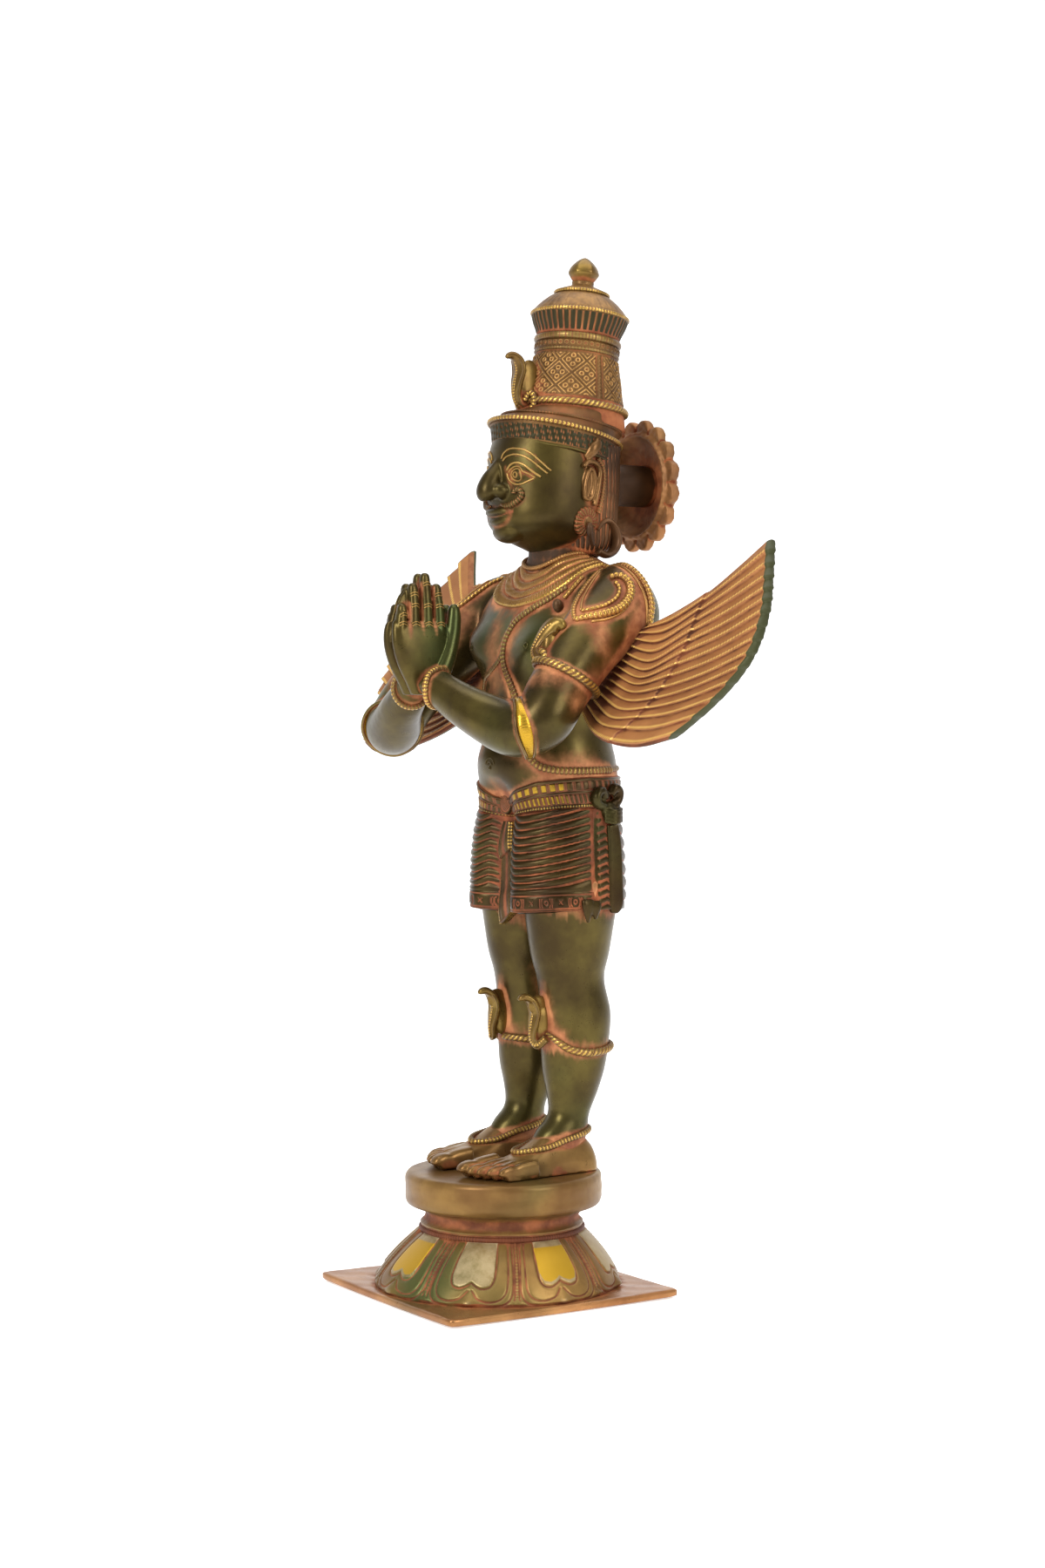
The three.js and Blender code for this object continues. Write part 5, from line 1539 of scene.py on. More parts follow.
# %% Sacred thread
near_thread = [(40, 23, 342), (32.4, 16.8, 335.4), (19, 11.7, 328.6), (8.6, 8.4, 322.3), (4.4, 4.8, 313.5),
               (3.4, 2.6, 303.6), (5.5, 2.6, 294.7), (11.4, 3.5, 284.7), (18, 4, 272), (23, 4, 258),
               (27.4, 4.4, 246), (32.4, 7.4, 238.6), (39, 15, 235.6), (44, 26, 235), (45.4, 40, 235.2),
               (42, 54, 235.6), (32, 64, 236), (14, 69, 236), (-6, 70, 236), (-28, 66, 236.4),
               (-42, 54, 237), (-45, 38, 238), (-43, 24, 242), (-40, 17, 252), (-37, 13, 264),
               (-31, 9, 277), (-22, 5.5, 288.5), (-11.3, 3.1, 293.4), (-1.4, 2.6, 299.6), (3, 2.8, 305.6)]
side_cut = near_thread[:16]
keep(thread("near_thread", body_tree, side_cut, 2.4, high=1.6, beads=0.32, pitch=2.5, gold=0.7), "ornament")
keep(thread("far_thread", body_tree, near_thread[15:], 1.5, high=1.1, beads=0.25, pitch=2.4, columns=10,
            step=0.55, gold=0.5), "ornament")
edging = [(x - 2.2, y, z - 1.6) for x, y, z in near_thread[:9]]
keep(plain("thread_edge", body_tree, edging, 0.6, gold=0.6), "collar")
bud_cord = [(44.6, 31.2, 346.7), (44.4, 24.6, 340), (43, 19.4, 334.6)]
keep(thread("bud_cord", body_tree, bud_cord, 1.7, high=1.5, lobes=3, pitch=2.6), "collar")
keep(ball("bud", (42.4, 15.4, 330.2), (3.1, 3.2, 4.2), turn=20), "dark")

# %% [markdown]
# A corded strap runs over each shoulder to the back of the arm, and in front of it lies a drop-shaped
# ornament: a double cord that rises from a point, with its other end curled inwards.

# %% Shoulder ornaments
strap = [(38, 46, 358), (48, 47.6, 357), (58, 48.6, 354.6), (68.7, 48.3, 350.2), (77.4, 50.5, 341.8),
         (82.8, 51.4, 331.5), (84.8, 49.8, 323.9), (84.9, 49.2, 317)]
strap_edge = [(46, 42, 356), (57, 42.6, 353.4), (67, 43.2, 348.6), (74.6, 45, 340.8), (79.6, 46.2, 331.5),
              (81.8, 46, 324), (82.4, 46, 319)]
drop_right = [(80.6, 2.2, 320.6), (84.4, 8.8, 321.8), (87.4, 17, 323.6), (88, 27.9, 328), (85.4, 36, 335),
              (80.6, 38.6, 342), (75.4, 36.0, 345.4), (73.4, 30.4, 344.2)]
drop_inner = [(79.4, 7.4, 325.2), (82.6, 13, 326.0), (84, 20, 328.2), (83, 27.6, 332.4), (80, 31.8, 337.6),
              (76.8, 31.4, 341.6)]
drop_left = [(80.6, 2.2, 320.6), (75, 4.6, 325.4), (69, 9.6, 331.6), (64, 16, 338), (60.6, 23, 343.4),
             (57.6, 31, 348.4), (54, 38, 352.6)]
drop_left_edge = [(79.0, 7.2, 326.2), (73.6, 11.4, 332), (68.8, 18, 338.4), (65.4, 25, 343.6),
                  (61.6, 33, 348.6)]
corded = {"beads": 0.34, "pitch": 2.6}
for side in (1, -1):
    parts = [
        thread("strap", body_tree, strap, 2.6, high=2.0, side=side, taper=[0.5, 0.9, 1, 1, 1, 1.1, 0.9],
               **corded),
        plain("strap_edge", body_tree, strap_edge, 0.9, side=side),
        thread("drop", body_tree, drop_right, 2.4, high=2.2, side=side,
               taper=[0.7, 1, 1.1, 1.2, 1.2, 1.1, 0.8], **corded),
        thread("drop", body_tree, drop_inner, 1.3, high=1.3, side=side, **corded),
        thread("drop", body_tree, drop_left, 1.7, high=1.6, side=side, taper=[0.8, 1, 1, 1, 0.9, 0.7],
               **corded),
        plain("drop", body_tree, drop_left_edge, 0.8, side=side),
        plain("drop", body_tree, [(x + 2.6, y, z - 2.4) for x, y, z in drop_right[1:6]], 0.8, side=side),
    ]
    keep(joined_as(sided("shoulder_ornament", side), parts), "collar")


# %% [markdown]
# Rings lie round the arms: a cobra's body above the elbow, a spindle-shaped gilt band below it, and a
# corded bracelet at the wrist. A ring is found by going round an axis and dropping to the nearest skin.

# %% Arm rings
limb_places = 36


def round_limb(tree, centre, axis, radius, side, lift):
    """Places on the skin round a centre, in the plane across an axis."""
    axis = np.array(axis, float) * [side, 1, 1]
    axis /= np.linalg.norm(axis)
    middle = np.array(centre, float) * [side, 1, 1] + [0, 0, sole]
    first = np.cross(axis, [0, 0, 1])
    first /= np.linalg.norm(first)
    second = np.cross(axis, first)
    angle = around(limb_places)[:, None]
    spots = middle + radius * (np.cos(angle) * first + np.sin(angle) * second)
    found, normals = laid_on(tree, spots)
    out = found - middle
    out -= (out @ axis)[:, None] * axis
    out /= np.linalg.norm(out, axis=1, keepdims=True)
    return found + out * lift, out


def widest_at(places, target, side, reach):
    """Shares that grow near a place: 1 there, falling with distance."""
    spot = np.array(target, float) * [side, 1, 1] + [0, 0, sole]
    return np.exp(-(np.linalg.norm(places - spot, axis=1) / reach) ** 2)


for side in (1, -1):
    places, out = round_limb(body_tree, (75, -29, 261), (0.47, 0.85, 0.24), 17.5, side, lift=0.3)
    wide = 0.28 + 0.72 * widest_at(places, (90, -37, 259), side, 13)
    axis = np.array([0.47 * side, 0.85, 0.24])
    spindle = rope("elbow_band", places, out, 4.1, 1.7, pitch=1.7, beads=0.1, columns=16, loop=True,
                   taper=[*wide, wide[0]], gilt=0.62, gold=0.9)
    edges = [
        rope("elbow_band", places + axis * way * (4.1 * wide[:, None] + 0.9), out, 0.9, 1.1, pitch=40,
             columns=8, step=0.9, loop=True, gold=0.3)
        for way in (1, -1)
    ]
    keep(spindle, "gilded")
    keep(joined_as("elbow_band_edges", edges), "ornament")
    places, out = round_limb(body_tree, (14, -48.5, 285), (0.92, 0.387, -0.06), 12, side, lift=0.9)
    keep(rope("bracelet", places, out, 1.9, 1.8, pitch=2.0, beads=0.2, loop=True), "ornament")
    places, out = round_limb(body_tree, (78.9, -2.8, 288.2), (-0.067, -0.507, -0.859), 20, side, lift=1.2)
    keep(rope("armlet", places, out, 2.7, 2.4, pitch=3.0, lobes=3, depth=0.26, columns=14, loop=True,
              gold=0.9), "ornament")
    curl = np.array([(78, -15.6, 296.6), (72.6, -15.4, 296.6), (69.6, -14.4, 299.6), (71.6, -14.6, 302.6),
                     (76, -15.4, 301.4)])
    away = np.array([(0.5 * side, -0.8, 0.2)] * len(curl))
    keep(rope("arm_coil", curl * [side, 1, 1] + [0, 0, sole], away, 2.3, 2.3, pitch=2.4, beads=0.25,
              loop=True), "ornament")


# %% [markdown]
# Cobras rise from the rings at the knees and arms and in front of the crown: a neck that swells to a
# spread hood, with a ridged belly and a small head bent forward.

# %% Cobras
def cobra(name, line, side=1, belly_half=1.3, web=()):
    """A cobra along stations [x, y, z, half across, half out], from its neck to its mouth."""
    made = [limb("cobra_form", line, side=side, rows=80, columns=30)]
    for centre, halves in web:
        made.append(ball("cobra_form", centre, halves, side))
    skin = fused(name, made, 0.6, 2)
    places = smooth_line(line, 40)[:32]
    spots = places[:, :3] * [side, 1, 1] + [0, 0, sole]
    across, out = frames_along(spots, (0, -1, 0))
    belly = rope(name + "_belly", spots + out * (places[:, 4:5] - 0.3), out, belly_half, 0.9, pitch=1.7,
                 beads=0.24, columns=10, step=0.42, taper=[0.8, 1, 1, 1.1, 1.1, 0.8, 0.4])
    edges = [
        rope(name + "_edge", spots + across * way * (places[:, 3:4] * 0.86) + out * places[:, 4:5] * 0.45,
             out, 0.6, 0.6, pitch=40, columns=8, step=0.8, gold=0.4)
        for way in (1, -1)
    ]
    return skin, joined_as(name + "_lines", [belly, *edges])


knee_line = [[30, 15.4, 79, 2.2, 2.0], [26.4, 13.2, 75.4, 2.3, 2.1], [23.6, 11.8, 76.4, 2.5, 2.3],
             [22.8, 10.6, 81, 2.7, 2.2], [22.6, 11.4, 88, 4.6, 1.9], [22.6, 12, 94.5, 5.6, 1.8],
             [22.6, 9.8, 100.4, 4.9, 2.2], [22.6, 5.6, 103.2, 3.3, 2.3], [22.6, 2.4, 102.6, 2.3, 1.8],
             [22.6, 0.9, 101.6, 0.9, 0.8]]
arm_line = [[73, -15, 297.6, 3.0, 3.0], [68.8, -15.4, 300, 3.4, 3.2], [66.2, -14, 304, 3.4, 3.2],
            [66.8, -11.8, 309, 3.9, 3.2], [69.2, -9.2, 314, 4.8, 3.6], [72.2, -6.2, 317.4, 5.0, 3.9],
            [75.4, -4.2, 318, 3.9, 3.3], [77.4, -3.2, 315.6, 1.8, 1.8]]
crown_line = [[0, 22, 449, 3.0, 2.8], [0, 16.6, 450.4, 3.1, 2.8], [0, 13.8, 455.6, 3.2, 2.6],
              [0, 14, 462.4, 5.0, 2.2], [0, 15.6, 469.6, 6.6, 2.2], [0, 14.6, 475.6, 5.6, 2.6],
              [0, 11, 478.6, 3.6, 2.4], [0, 7.8, 478, 2.2, 1.8], [0, 6.4, 476.9, 1.0, 0.9]]
knee_web = [((23, 17.5, 88), (3.6, 6.4, 12)), ((23, 14, 98), (2.6, 6.5, 6))]
crown_web = [((0, 22.4, 462), (3.0, 7.6, 15))]
cobras = []
for side in (1, -1):
    cobras.append(cobra(sided("knee_cobra", side), knee_line, side, web=knee_web))
    cobras.append(cobra(sided("arm_cobra", side), arm_line, side, web=[((71, -7, 306), (4, 6, 8))]))
cobras.append(cobra("crown_cobra", crown_line, web=crown_web, belly_half=1.7))
for skin, belly in cobras:
    keep(skin, "snake")
    keep(belly, "ornament")

coil = [(3.2, 17.4, 452), (5.6, 19.2, 456.4), (8.4, 20, 455.4), (9.2, 20.4, 451), (7.4, 19.6, 447.4)]
spots = np.array(coil) + [0, 0, sole]
away = np.array([[0.35, -0.9, 0.1]] * len(coil))
keep(rope("crown_coil", spots, away, 2.0, 2.0, pitch=1.9, beads=0.24, step=0.45), "ornament")

# %% [markdown]
# Snake rings lie round the knees and corded anklets over the feet; both slope, the knee rings up to the
# front and the anklets up to the heel.

# %% Knee rings and anklets
knee_ring = [(42.6, 38, 70.8), (41.6, 31, 71.6), (38.4, 25.4, 73.6), (33.6, 20.8, 77.8), (27.4, 18.2, 82.0)]
back_ring = [(42.6, 38, 70.8), (41.4, 47.6, 71.4), (36, 57, 72.6), (26, 61.4, 73.6), (14, 58.4, 74),
             (6.4, 50, 74), (4.6, 40, 74), (7.0, 29, 74.4), (13.4, 20.8, 75.2), (20, 15.4, 75.6)]
for side in (1, -1):
    parts = [
        thread("knee_ring", body_tree, knee_ring, 2.5, high=2.3, side=side, lobes=3, depth=0.22, pitch=2.8,
               columns=14, lift=1.2, taper=[1, 1, 1, 0.95, 0.8, 0.45], gold=0.85),
        thread("knee_ring", body_tree, back_ring, 2.4, high=2.2, side=side, lobes=3, depth=0.22, pitch=2.8,
               columns=14, lift=1.2, gold=0.8),
    ]
    keep(joined_as(sided("knee_ring", side), parts), "ornament")
feet_tree = seen_from(feet)
anklet = [(24, -4.3, 16.2), (31.6, 0, 16.8), (38, 9.6, 18), (40.2, 22, 20), (39, 36, 22), (32.4, 47, 23.8),
          (24, 50, 24.4), (15.6, 47, 23.8), (9, 36, 22), (7.8, 22, 20), (10, 9.6, 18), (16.4, 0, 16.8)]
for side in (1, -1):
    spots = smooth_line(np.array(anklet) * [side, 1, 1] + [0, 0, sole], 60, loop=True)
    both = [laid_on(tree, spots, lift=0.9) for tree in (feet_tree, body_tree)]
    gaps = [np.linalg.norm(found - spots, axis=1) for found, out in both]
    nearest = (gaps[0] < gaps[1])[:, None]
    places = np.where(nearest, both[0][0], both[1][0])
    for again in range(3):
        places = (np.roll(places, 1, 0) + places + np.roll(places, -1, 0)) / 3
    out = places - places.mean(0)
    out[:, 2] = 4
    out /= np.linalg.norm(out, axis=1, keepdims=True)
    keep(rope(sided("anklet", side), places, out, 2.0, 1.9, pitch=2.1, beads=0.22, loop=True,
              gold=0.8), "ornament")

# %% [markdown]
# Small things on the skin: a ring round each nipple, arcs over the navel and double arcs over the finger
# joints. Patina is marked in the gaps between the fingers.

# %% Small marks on the skin
marks = []
for side in (1, -1):
    at = {"side": side, "direction": face_in}
    marks.append(plain("nipple", body_tree, ring_of((30.6, 307.6), 1.5, 8), 0.42, loop=True, **at))
for radius in (2.6, 4.9):
    arc = [(radius * math.sin(a), 0, 237.4 + radius * math.cos(a))
           for a in np.radians([-75, -45, 0, 45, 75])]
    marks.append(plain("navel_arc", body_tree, arc, 0.36, direction=face_in))
marks.append(plain("navel", body_tree, ring_of((0, 236.6), 0.9, 8), 0.4, loop=True, direction=face_in))
keep(joined_as("skin_marks", marks), "skin")
arc_steps = (-2.6, -1.4, 0, 1.4, 2.6)
marks = []
for side in (1, -1):
    inward = (-side, 0, 0)
    for root, (tip, top) in zip(finger_roots, finger_tips):
        for level, share in ((318.5, 0.3), (329, 0.55), (top - 7.5, 0.8)):
            if level > top - 6:
                continue
            y = root + (tip - root) * share
            for rise in (0, 1.5):
                arc = [(8, y + d, level + rise + 0.8 - 0.35 * (d / 1.4) ** 2) for d in arc_steps]
                marks.append(plain("joint_arc", hands_tree, arc, 0.34, side=side, direction=inward,
                                   step=0.7, columns=6))
keep(joined_as("finger_marks", marks), "face")
finger_gaps = []
for n in range(len(finger_roots) - 1):
    root = (finger_roots[n] + finger_roots[n + 1]) / 2
    tip = (finger_tips[n][0] + finger_tips[n + 1][0]) / 2
    top = min(finger_tips[n][1], finger_tips[n + 1][1])
    for share in np.linspace(0.16, 1, 14):
        for x in (6, 8, -6, -8):
            finger_gaps.append((x, root + (tip - root) * share, 308 + (top - 308) * share + sole))
put_mark(hands, "groove", 0.95 * near_places(hands, np.array(finger_gaps), 1.7))

# %% [markdown]
# Patina was left thicker where a hand seldom rubs: over the back of the arms, about the shoulders and
# behind the knees' ornaments. Each is marked along lines drawn on the skin, and so are the gaps between
# the toes. The neck under the chin is painted dark brown as painted shade, the shade that the chin casts.

# %% Patina left on the skin, and painted shade under the chin
wash_lines = (
    [(84, 45, 346), (86, 46, 336), (87.6, 43, 326), (88, 38, 318)],
    [(86, 44, 312), (88, 30, 300), (93, 16, 291), (95, 6, 286)],
    [(60, 12, 330), (57, 6, 322), (58, 2, 312)], [(27, 6, 343), (34, 12, 338), (41, 18, 333)],
    [(4, 2, 290), (12, 3, 280), (20, 4, 270)], [(60, 20, 348), (66, 10, 340), (72, 2, 330)],
    [(91, 4, 330), (93, 10, 318), (95, 14, 304)], [(12, 4, 322), (10, 2, 312), (8, 2, 300)],
    [(72, 44, 352), (80, 44, 346)], [(92, -2, 279), (92, -10, 275)], [(84, -12, 282), (78, -20, 276)],
    [(50, 8, 336), (52, 2, 326)],
)
low_wash_lines = (
    [(26, 20, 92), (28, 18, 86), (33, 20, 80)], [(24, 24, 108), (25, 20, 98)],
    [(20, 32, 20), (24, 26, 16), (32, 26, 18)], [(14, 34, 120), (12, 36, 100), (12, 36, 80)],
    [(6, 20, 240), (20, 20, 238), (36, 26, 240), (46, 40, 240)],
)


def washed(lines, reach):
    """How near each point of the skin is to the lines, drawn on both sides."""
    places = [along_skin(body_tree, line, side, spacing=2.5)[0] for side in (1, -1) for line in lines]
    return near_places(body, np.vstack(places), reach)


put_mark(body, "groove", np.clip(0.64 * washed(wash_lines, 9.0) + 0.5 * washed(low_wash_lines, 8.0), 0, 1))
toe_gaps = np.array([
    (side * (leg_spread + toes_outward + edge * foot_half), heel - foot_length + back, high + sole)
    for side in (1, -1)
    for edge in toe_edges[1:-1]
    for back in range(3, 22, 2)
    for high in (2, 5, 8)
])
put_mark(feet, "groove", 0.9 * near_places(feet, toe_gaps, 1.6))
# Painted shade: the neck under the chin gets the dark bare colour, standing in for the chin's shadow.
neck_shade = np.array([
    (20 * math.cos(a), 46 + 20 * math.sin(a), z + sole) for a in around(24) for z in (356, 362)
])
put_mark(body, "bare", 0.8 * near_places(body, neck_shade, 7.0))

# %% [markdown]
# A small dome on each finger is its nail.

# %% Nails
nails = []
for side in (1, -1):
    for tip, top in finger_tips:
        nails.append(dome("nail", (side * 5.6, tip, top - 2.6), (side, 0, 0.62), upward, 1.9, 2.3, 0.7,
                          rows=5, columns=20, back=1.0))
keep(joined_as("finger_nails", nails), "face")


# %% [markdown]
# A carved net has more faces than its smooth stretches need. On a piece with many, the faces that lie
# almost flat with their neighbours are joined, so that the ridges and grooves keep theirs.

# %% Fewer faces where a piece is smooth
many_faces = 7000
share_kept = 0.66
for piece, finish in pieces:
    if sum(len(face.vertices) - 2 for face in piece.data.polygons) > many_faces:
        finish_with(piece, "DECIMATE", ratio=share_kept)
left = sum(len(face.vertices) - 2 for piece, finish in pieces for face in piece.data.polygons)
print("triangles in all", left)


# %% [markdown]
# Patina tells where a casting was rubbed and where it wasn't. The worn parts are told by shape: each
# piece already notes its ridges and grooves, and here every point also learns how much metal crowds in
# front of it. All pieces are counted into one coarse grid of area, which is blurred twice, and the grid
# is read a little way out from each point: open skin finds half-empty cells, a crevice finds full ones.
# The smooth skin counts as crowded a little sooner than the ornaments do.

# %% Where recesses lie
cell = 1.6
margin = 12
near_reach, near_step = 2.4, 2.4
wide_reach, wide_step = 8.0, 6.0
skin_sooner = 0.12


def crowding(objects, counted, reach, step_out):
    """For each object, how crowded each of its points is, against its own open surface."""
    low = np.array(cad_box[0]) / mm - margin
    high = np.array(cad_box[1]) / mm + margin
    shape = np.ceil((high - low) / cell).astype(int)
    grid = np.zeros(int(np.prod(shape)))
    for piece in counted:
        mesh = piece.data
        centre = np.zeros(len(mesh.polygons) * 3, np.float32)
        area = np.zeros(len(mesh.polygons), np.float32)
        mesh.polygons.foreach_get("center", centre)
        mesh.polygons.foreach_get("area", area)
        at = np.clip(((centre.reshape(-1, 3) / mm - low) / cell).astype(int), 0, shape - 1)
        grid += np.bincount(np.ravel_multi_index(at.T, shape), area / mm**2, len(grid))
    waves = np.fft.rfftn(grid.reshape(shape))
    for axis, count in enumerate(shape):
        turn = np.fft.fftfreq(count) if axis < 2 else np.fft.rfftfreq(count)
        fade = np.exp(-2 * (math.pi * turn * reach / cell) ** 2)
        waves *= fade.reshape([-1 if k == axis else 1 for k in range(3)])
    cloud = np.fft.irfftn(waves, s=shape, axes=(0, 1, 2)) / cell**3
    flat = math.exp(-0.5 * (step_out / reach) ** 2) / (math.sqrt(full_turn) * reach)
    found = []
    for piece in objects:
        normals = np.zeros(len(piece.data.vertices) * 3, np.float32)
        piece.data.vertices.foreach_get("normal", normals)
        at = (points_of(piece) + normals.reshape(-1, 3) * step_out - low) / cell - 0.5
        base = np.clip(np.floor(at).astype(int), 0, shape - 2)
        part = np.clip(at - base, 0, 1)
        total = np.zeros(len(at))
        for corner in np.ndindex(2, 2, 2):
            weight = np.prod(np.where(corner, part, 1 - part), 1)
            total += weight * cloud[tuple((base + corner).T)]
        found.append(total / max(flat, np.median(total)))
    return found


all_pieces = [piece for piece, finish in pieces]
thin_lines = ("face_lines", "skin_marks", "finger_marks", "moustaches")
counted = [piece for piece in all_pieces if piece.name not in thin_lines]
near = crowding(all_pieces, counted, near_reach, near_step)
wide = crowding(all_pieces, counted, wide_reach, wide_step)
for piece, close, broad in zip(all_pieces, near, wide):
    sooner = skin_sooner if piece is body else 0.0
    hollow = 0.6 * soft_step(1.2 - sooner, 2.2 - sooner, close)
    hollow = hollow + 0.6 * soft_step(1.3 - sooner, 2.3 - 2 * sooner, broad)
    put_mark(piece, "hollow", np.clip(hollow, 0, 1))
print("recesses marked on", len(all_pieces), "pieces")


# %% [markdown]
# Shader sums are written as Python: a small class wraps a socket, and its operators add the Math nodes.

# %% Shader signals
class Signal:
    """A socket of a material's node tree, used like a number."""

    def __init__(self, tree, socket=None):
        self.tree = tree
        self.socket = socket

    def add(self, kind, settings=None, inputs=None, out=0):
        """Adds a node of a type, with its settings, then the values or links of its sockets."""
        node = self.tree.nodes.new(kind)
        for key, value in (settings or {}).items():
            setattr(node, key, value)
        for key, value in (inputs or {}).items():
            if isinstance(value, Signal):
                self.tree.links.new(value.socket, node.inputs[key])
            else:
                node.inputs[key].default_value = value
        return Signal(self.tree, node.outputs[out]) if node.outputs else None

    def sum(self, operation, first, second):
        return self.add("ShaderNodeMath", {"operation": operation}, {0: first, 1: second})

    def __add__(self, other):
        return self.sum("ADD", self, other)

    __radd__ = __add__

    def __sub__(self, other):
        return self.sum("SUBTRACT", self, other)

    def __rsub__(self, other):
        return self.sum("SUBTRACT", other, self)

    def __mul__(self, other):
        return self.sum("MULTIPLY", self, other)

    __rmul__ = __mul__

    def step(self, low, high):
        """0 below low, 1 above high, smooth between."""
        settings = {"interpolation_type": "SMOOTHSTEP"}
        return self.add("ShaderNodeMapRange", settings, {"Value": self, "From Min": low, "From Max": high})

    def blend(self, first, second):
        """A colour between two, by this signal."""
        settings = {"data_type": "RGBA"}
        return self.add("ShaderNodeMix", settings, {"Factor": self, "A": first, "B": second}, out="Result")


def colour(red, green, blue):
    """A colour as a screen shows it, from 0 to 255, turned to the linear values that a shader takes."""
    share = [v / 255 for v in (red, green, blue)]
    return (*[v / 12.92 if v <= 0.04045 else ((v + 0.055) / 1.055) ** 2.4 for v in share], 1)


# %% [markdown]
# One recipe makes every finish: rubbed bronze skin that drifts between olive, brown and green, salmon
# patina where metal crowds or a groove was cut, gold where a ridge was rubbed bright, and yellow gilding
# on a few fields. The finishes differ in how much of each they show.

# %% Patinated bronze
salmon = colour(176, 106, 64)
rust = colour(110, 54, 30)
gold = colour(176, 138, 66)
yellow = colour(172, 134, 34)
green = colour(58, 78, 40)


def bronze(name, skin_light, skin_dark, patina_low=0.3, patina_high=0.75, patina_base=0.0, green_share=0.5,
           shine=0.31, metal=0.62, ridge_gold=gold, patina_light=salmon, patina_dark=rust,
           bare_colour=colour(56, 58, 32), pits=0.08):
    material = bpy.data.materials.new(name)
    material.use_nodes = True
    tree = material.node_tree
    tree.nodes.clear()
    start = Signal(tree)
    place = start.add("ShaderNodeTexCoord", out="Object")

    def noise(scale, detail=3.0, rough=0.5):
        return start.add("ShaderNodeTexNoise", None,
                         {"Vector": place, "Scale": scale, "Detail": detail, "Roughness": rough})

    def mark(word):
        return start.add("ShaderNodeAttribute", {"attribute_name": word}, out="Fac")

    drift = noise(22, 4, 0.6)
    cloud = noise(9, 2)
    speck = noise(160, 4, 0.65)
    fine = noise(700, 3, 0.6)
    skin = drift.step(0.3, 0.76).blend(skin_dark, skin_light)
    skin = (cloud.step(0.5, 0.72) * green_share).blend(skin, green)
    skin = (speck.step(0.56, 0.74) * 0.35).blend(skin, skin_dark)
    crowded = mark("hollow") + mark("groove") * 0.9 + (speck - 0.5) * 0.5 + (drift - 0.5) * 0.5
    patina = (crowded + patina_base).step(patina_low, patina_high)
    crust = (noise(60, 4, 0.6).step(0.35, 0.7)).blend(patina_dark, patina_light)
    look = (patina * 0.93).blend(skin, crust)
    # The bare mark darkens to the bare colour: the dark ground of carved pieces, and painted shade under
    # the chin on the body skin.
    look = (mark("bare") + (speck - 0.5) * 0.5).step(0.35, 0.75).blend(look, bare_colour)
    bright = (mark("ridge") + (speck - 0.5) * 0.5).step(0.35, 0.85)
    look = bright.blend(look, ridge_gold)
    gilded = (mark("gilt") + (speck - 0.5) * 0.3).step(0.3, 0.7)
    look = gilded.blend(look, yellow)
    dull = patina * 0.3 + (speck - 0.5) * 0.2 + (fine - 0.5) * 0.1 + shine - bright * 0.06
    metallic = metal - patina * (metal * 0.85) + bright * 0.15
    height = fine * 0.4 + speck * 0.6
    bump = start.add("ShaderNodeBump", None, {"Height": height, "Strength": pits, "Distance": 0.0006})
    shader = start.add("ShaderNodeBsdfPrincipled", None, {
        "Base Color": look, "Roughness": dull, "Metallic": metallic, "Normal": bump,
        "Specular IOR Level": 0.22,
    })
    start.add("ShaderNodeOutputMaterial", None, {"Surface": shader})
    return material


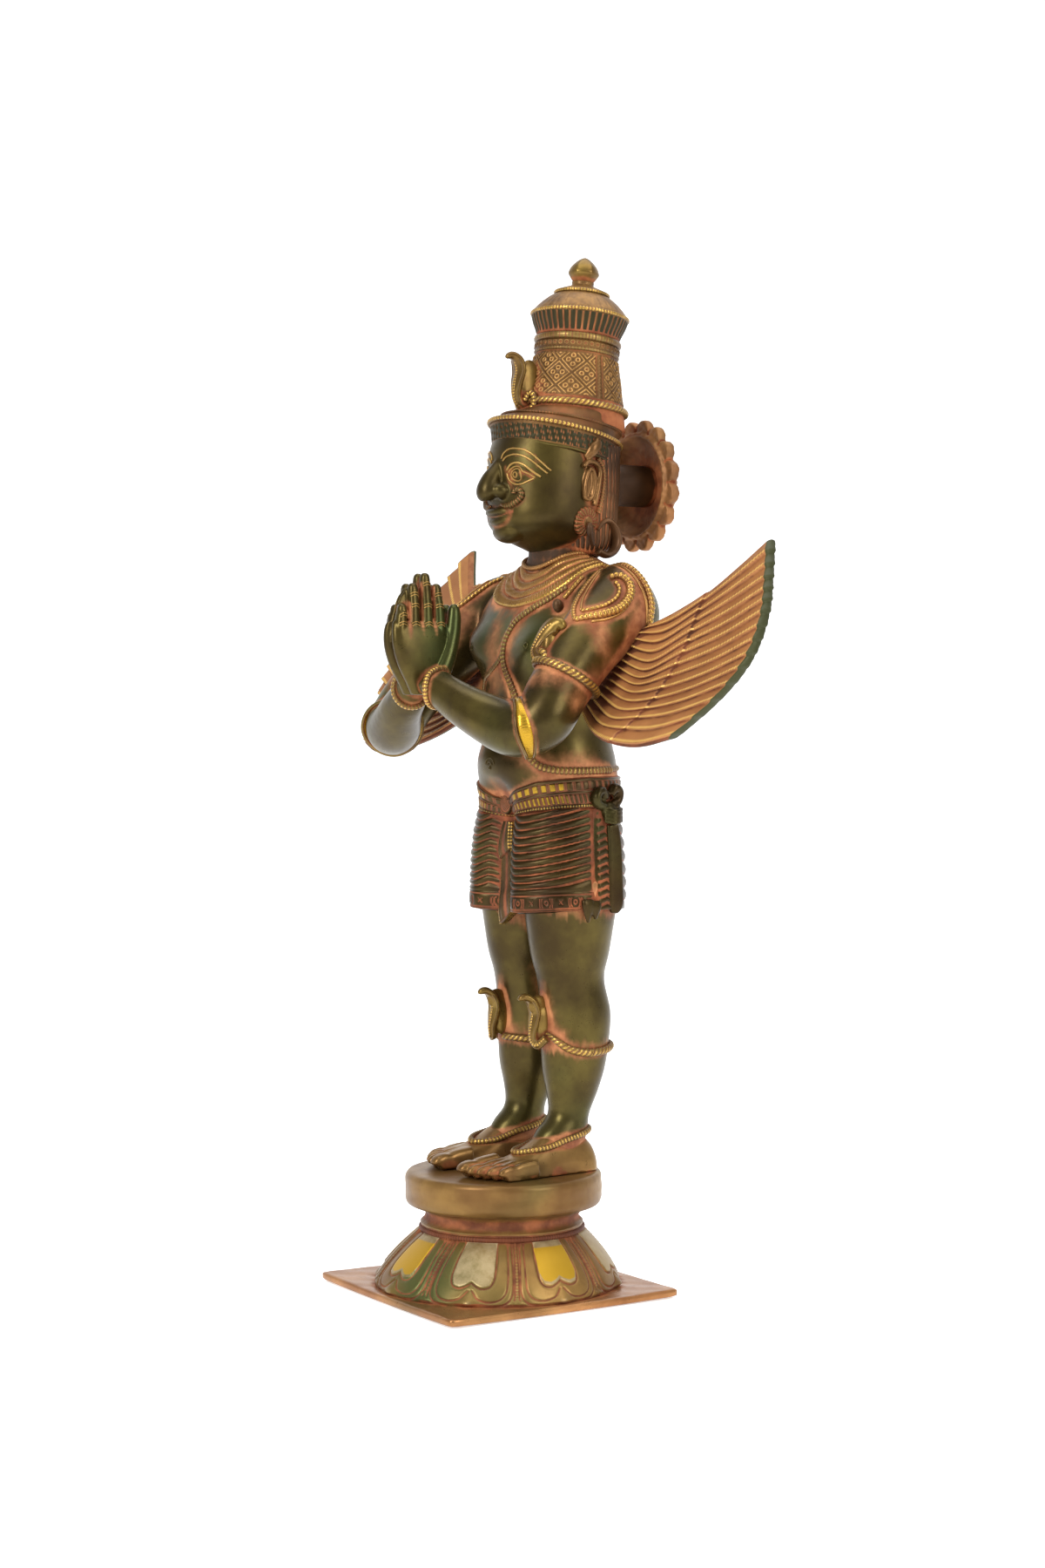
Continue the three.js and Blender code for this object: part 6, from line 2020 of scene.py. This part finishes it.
finishes = {
    # In the skin finish the bare colour is the painted shade under the chin.
    "skin": bronze("rubbed_bronze", colour(88, 76, 36), colour(54, 42, 20), green_share=0.65, metal=0.7,
                   patina_low=0.1, patina_high=0.9, patina_light=colour(192, 128, 84),
                   patina_dark=colour(124, 68, 42), bare_colour=colour(60, 40, 22)),
    "head": bronze("head_bronze", colour(76, 64, 28), colour(50, 38, 18), green_share=0.45, metal=0.7,
                   shine=0.36, patina_low=0.2, patina_high=0.9),
    "foot": bronze("foot_bronze", colour(148, 114, 64), colour(98, 68, 36), green_share=0.6, patina_low=0.2,
                   patina_high=0.95, patina_base=0.12),
    "ornament": bronze("ornament_bronze", colour(126, 104, 56), colour(84, 60, 34), patina_low=0.25,
                       patina_high=0.75, patina_base=0.05, green_share=0.3, metal=0.5,
                       ridge_gold=colour(184, 146, 72), patina_light=colour(132, 76, 46),
                       patina_dark=colour(82, 46, 28)),
    "wing": bronze("wing_bronze", colour(172, 118, 70), colour(136, 88, 50), green_share=0.0, metal=0.3,
                   patina_low=0.25, patina_high=0.75, shine=0.45, ridge_gold=colour(214, 172, 94),
                   patina_light=colour(112, 60, 38), patina_dark=colour(70, 36, 24)),
    "crown": bronze("crown_bronze", colour(108, 76, 38), colour(66, 42, 20), patina_base=0.0,
                    bare_colour=colour(42, 38, 16), green_share=0.3, patina_low=0.25, patina_high=0.85,
                    metal=0.4, shine=0.42, ridge_gold=colour(172, 130, 72),
                    patina_light=colour(160, 96, 58)),
    "dark": bronze("dark_bronze", colour(98, 66, 38), colour(52, 34, 20), patina_base=0.02,
                   green_share=0.35, metal=0.45, shine=0.42),
    "disc": bronze("disc_bronze", colour(184, 126, 76), colour(104, 68, 40), green_share=0.4, metal=0.35,
                   shine=0.5, ridge_gold=colour(150, 112, 74), pits=0.16),
    "cloth": bronze("cloth_bronze", colour(66, 54, 22), colour(44, 28, 12), green_share=0.6, patina_low=0.3,
                    patina_light=colour(150, 82, 48), patina_dark=colour(98, 50, 28), patina_high=0.7,
                    patina_base=0.06),
    "belt": bronze("belt_bronze", colour(92, 72, 38), colour(56, 40, 24), green_share=0.4, patina_low=0.3,
                   patina_light=colour(142, 82, 52), patina_dark=colour(92, 50, 30), patina_high=0.7,
                   patina_base=0.08),
    "face": bronze("face_line_bronze", colour(168, 134, 74), colour(128, 98, 52), green_share=0.0,
                   patina_low=0.5, patina_high=1.1),
    "ear": bronze("ear_bronze", colour(134, 96, 56), colour(84, 58, 30), green_share=0.4, patina_low=0.25,
                  patina_high=0.8, patina_base=0.04),
    "collar": bronze("collar_bronze", colour(174, 128, 72), colour(118, 82, 44), green_share=0.15,
                     patina_low=0.35, patina_high=1.0, patina_base=0.0, patina_light=colour(172, 108, 68),
                     patina_dark=colour(108, 62, 36)),
    "gilded": bronze("gilded_bronze", colour(150, 114, 36), colour(100, 74, 26), green_share=0.0,
                     patina_low=0.4, patina_high=1.0),
    "snake": bronze("snake_bronze", colour(130, 108, 50), colour(92, 66, 32), green_share=0.6,
                    patina_low=0.35, patina_high=0.9),
    "plinth": bronze("plinth_bronze", colour(140, 108, 58), colour(100, 70, 36), green_share=0.85,
                     pits=0.12, patina_low=0.3, bare_colour=colour(160, 142, 106), metal=0.5, shine=0.38,
                     patina_light=colour(150, 88, 54), patina_dark=colour(90, 46, 28)),
    "plate": bronze("plate_bronze", colour(178, 128, 80), colour(132, 86, 50), green_share=0.5, pits=0.14,
                    patina_low=0.2, patina_high=0.9),
    "patina": bronze("patinated_bronze", colour(112, 60, 34), colour(70, 36, 20), green_share=0.1,
                     patina_light=colour(124, 70, 42), patina_dark=colour(84, 42, 24), patina_base=0.3,
                     metal=0.3, shine=0.5),
}
for piece, finish in pieces:
    piece.data.materials.clear()
    piece.data.materials.append(finishes[finish])
    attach(piece, "root")
print("finishes put on", len(pieces), "pieces")

# %% [markdown]
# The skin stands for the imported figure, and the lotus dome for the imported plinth.

# %% What the pieces stand for
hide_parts("garuda_figure")
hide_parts("lotus_plinth")

# %% [markdown]
# A product photograph has a white floor that runs up into a white backdrop, and large soft lights. The
# key light stands to the left of the camera and high, a broad fill at the right, and a third hangs above.

# %% Floor and light
sweep_profile = smooth_line([[-3.0, 0], [0, 0], [1.6, 0], [2.6, 0.12], [3.4, 0.8], [3.7, 2.0], [3.8, 4.0]],
                            60)
away = np.array([-math.sin(camera_turn), math.cos(camera_turn), 0])
along = np.array([away[1], -away[0], 0])
sweep_rows = (sweep_profile[:, None, :1] * away + np.linspace(14, -14, 12)[None, :, None] * along
              + (np.maximum(sweep_profile[:, None, 1:], 0) - 0.0004) * np.array([0, 0, 1]))
floor = net("floor", sweep_rows * 1000, loop_columns=False, ends=False)
paper = bpy.data.materials.new("paper")
paper.use_nodes = True
paper_look = paper.node_tree.nodes["Principled BSDF"].inputs
paper_look["Base Color"].default_value = (0.92, 0.92, 0.92, 1)
paper_look["Roughness"].default_value = 0.9
paper_look["Emission Color"].default_value = (1, 1, 1, 1)
paper_look["Emission Strength"].default_value = 0.5
floor.data.materials.append(paper)


def soft_light(name, place, aim, size, power):
    """A rectangular lamp that faces a place."""
    light = bpy.data.lights.new(name, "AREA")
    light.shape = "RECTANGLE"
    light.size, light.size_y = size
    light.energy = power
    lamp = bpy.data.objects.new(name, light)
    bpy.context.collection.objects.link(lamp)
    lamp.location = place
    lamp.rotation_euler = (Vector(aim) - Vector(place)).to_track_quat("-Z", "Y").to_euler()
    return lamp


soft_light("key_light", (0.7, -1.9, 1.3), (0, 0, 0.33), (0.7, 1.4), 44)
soft_light("fill_light", (1.9, 0.5, 1.1), (0, 0, 0.3), (0.8, 1.4), 24)
soft_light("top_light", (0.1, 0.2, 2.2), (0, 0, 0.3), (2.0, 2.0), 34)
world = bpy.data.worlds.new("studio")
world.use_nodes = True
world.node_tree.nodes["Background"].inputs["Color"].default_value = (1, 1, 1, 1)
world.node_tree.nodes["Background"].inputs["Strength"].default_value = 0.4
bpy.context.scene.world = world
bpy.context.scene.view_settings.view_transform = "Standard"
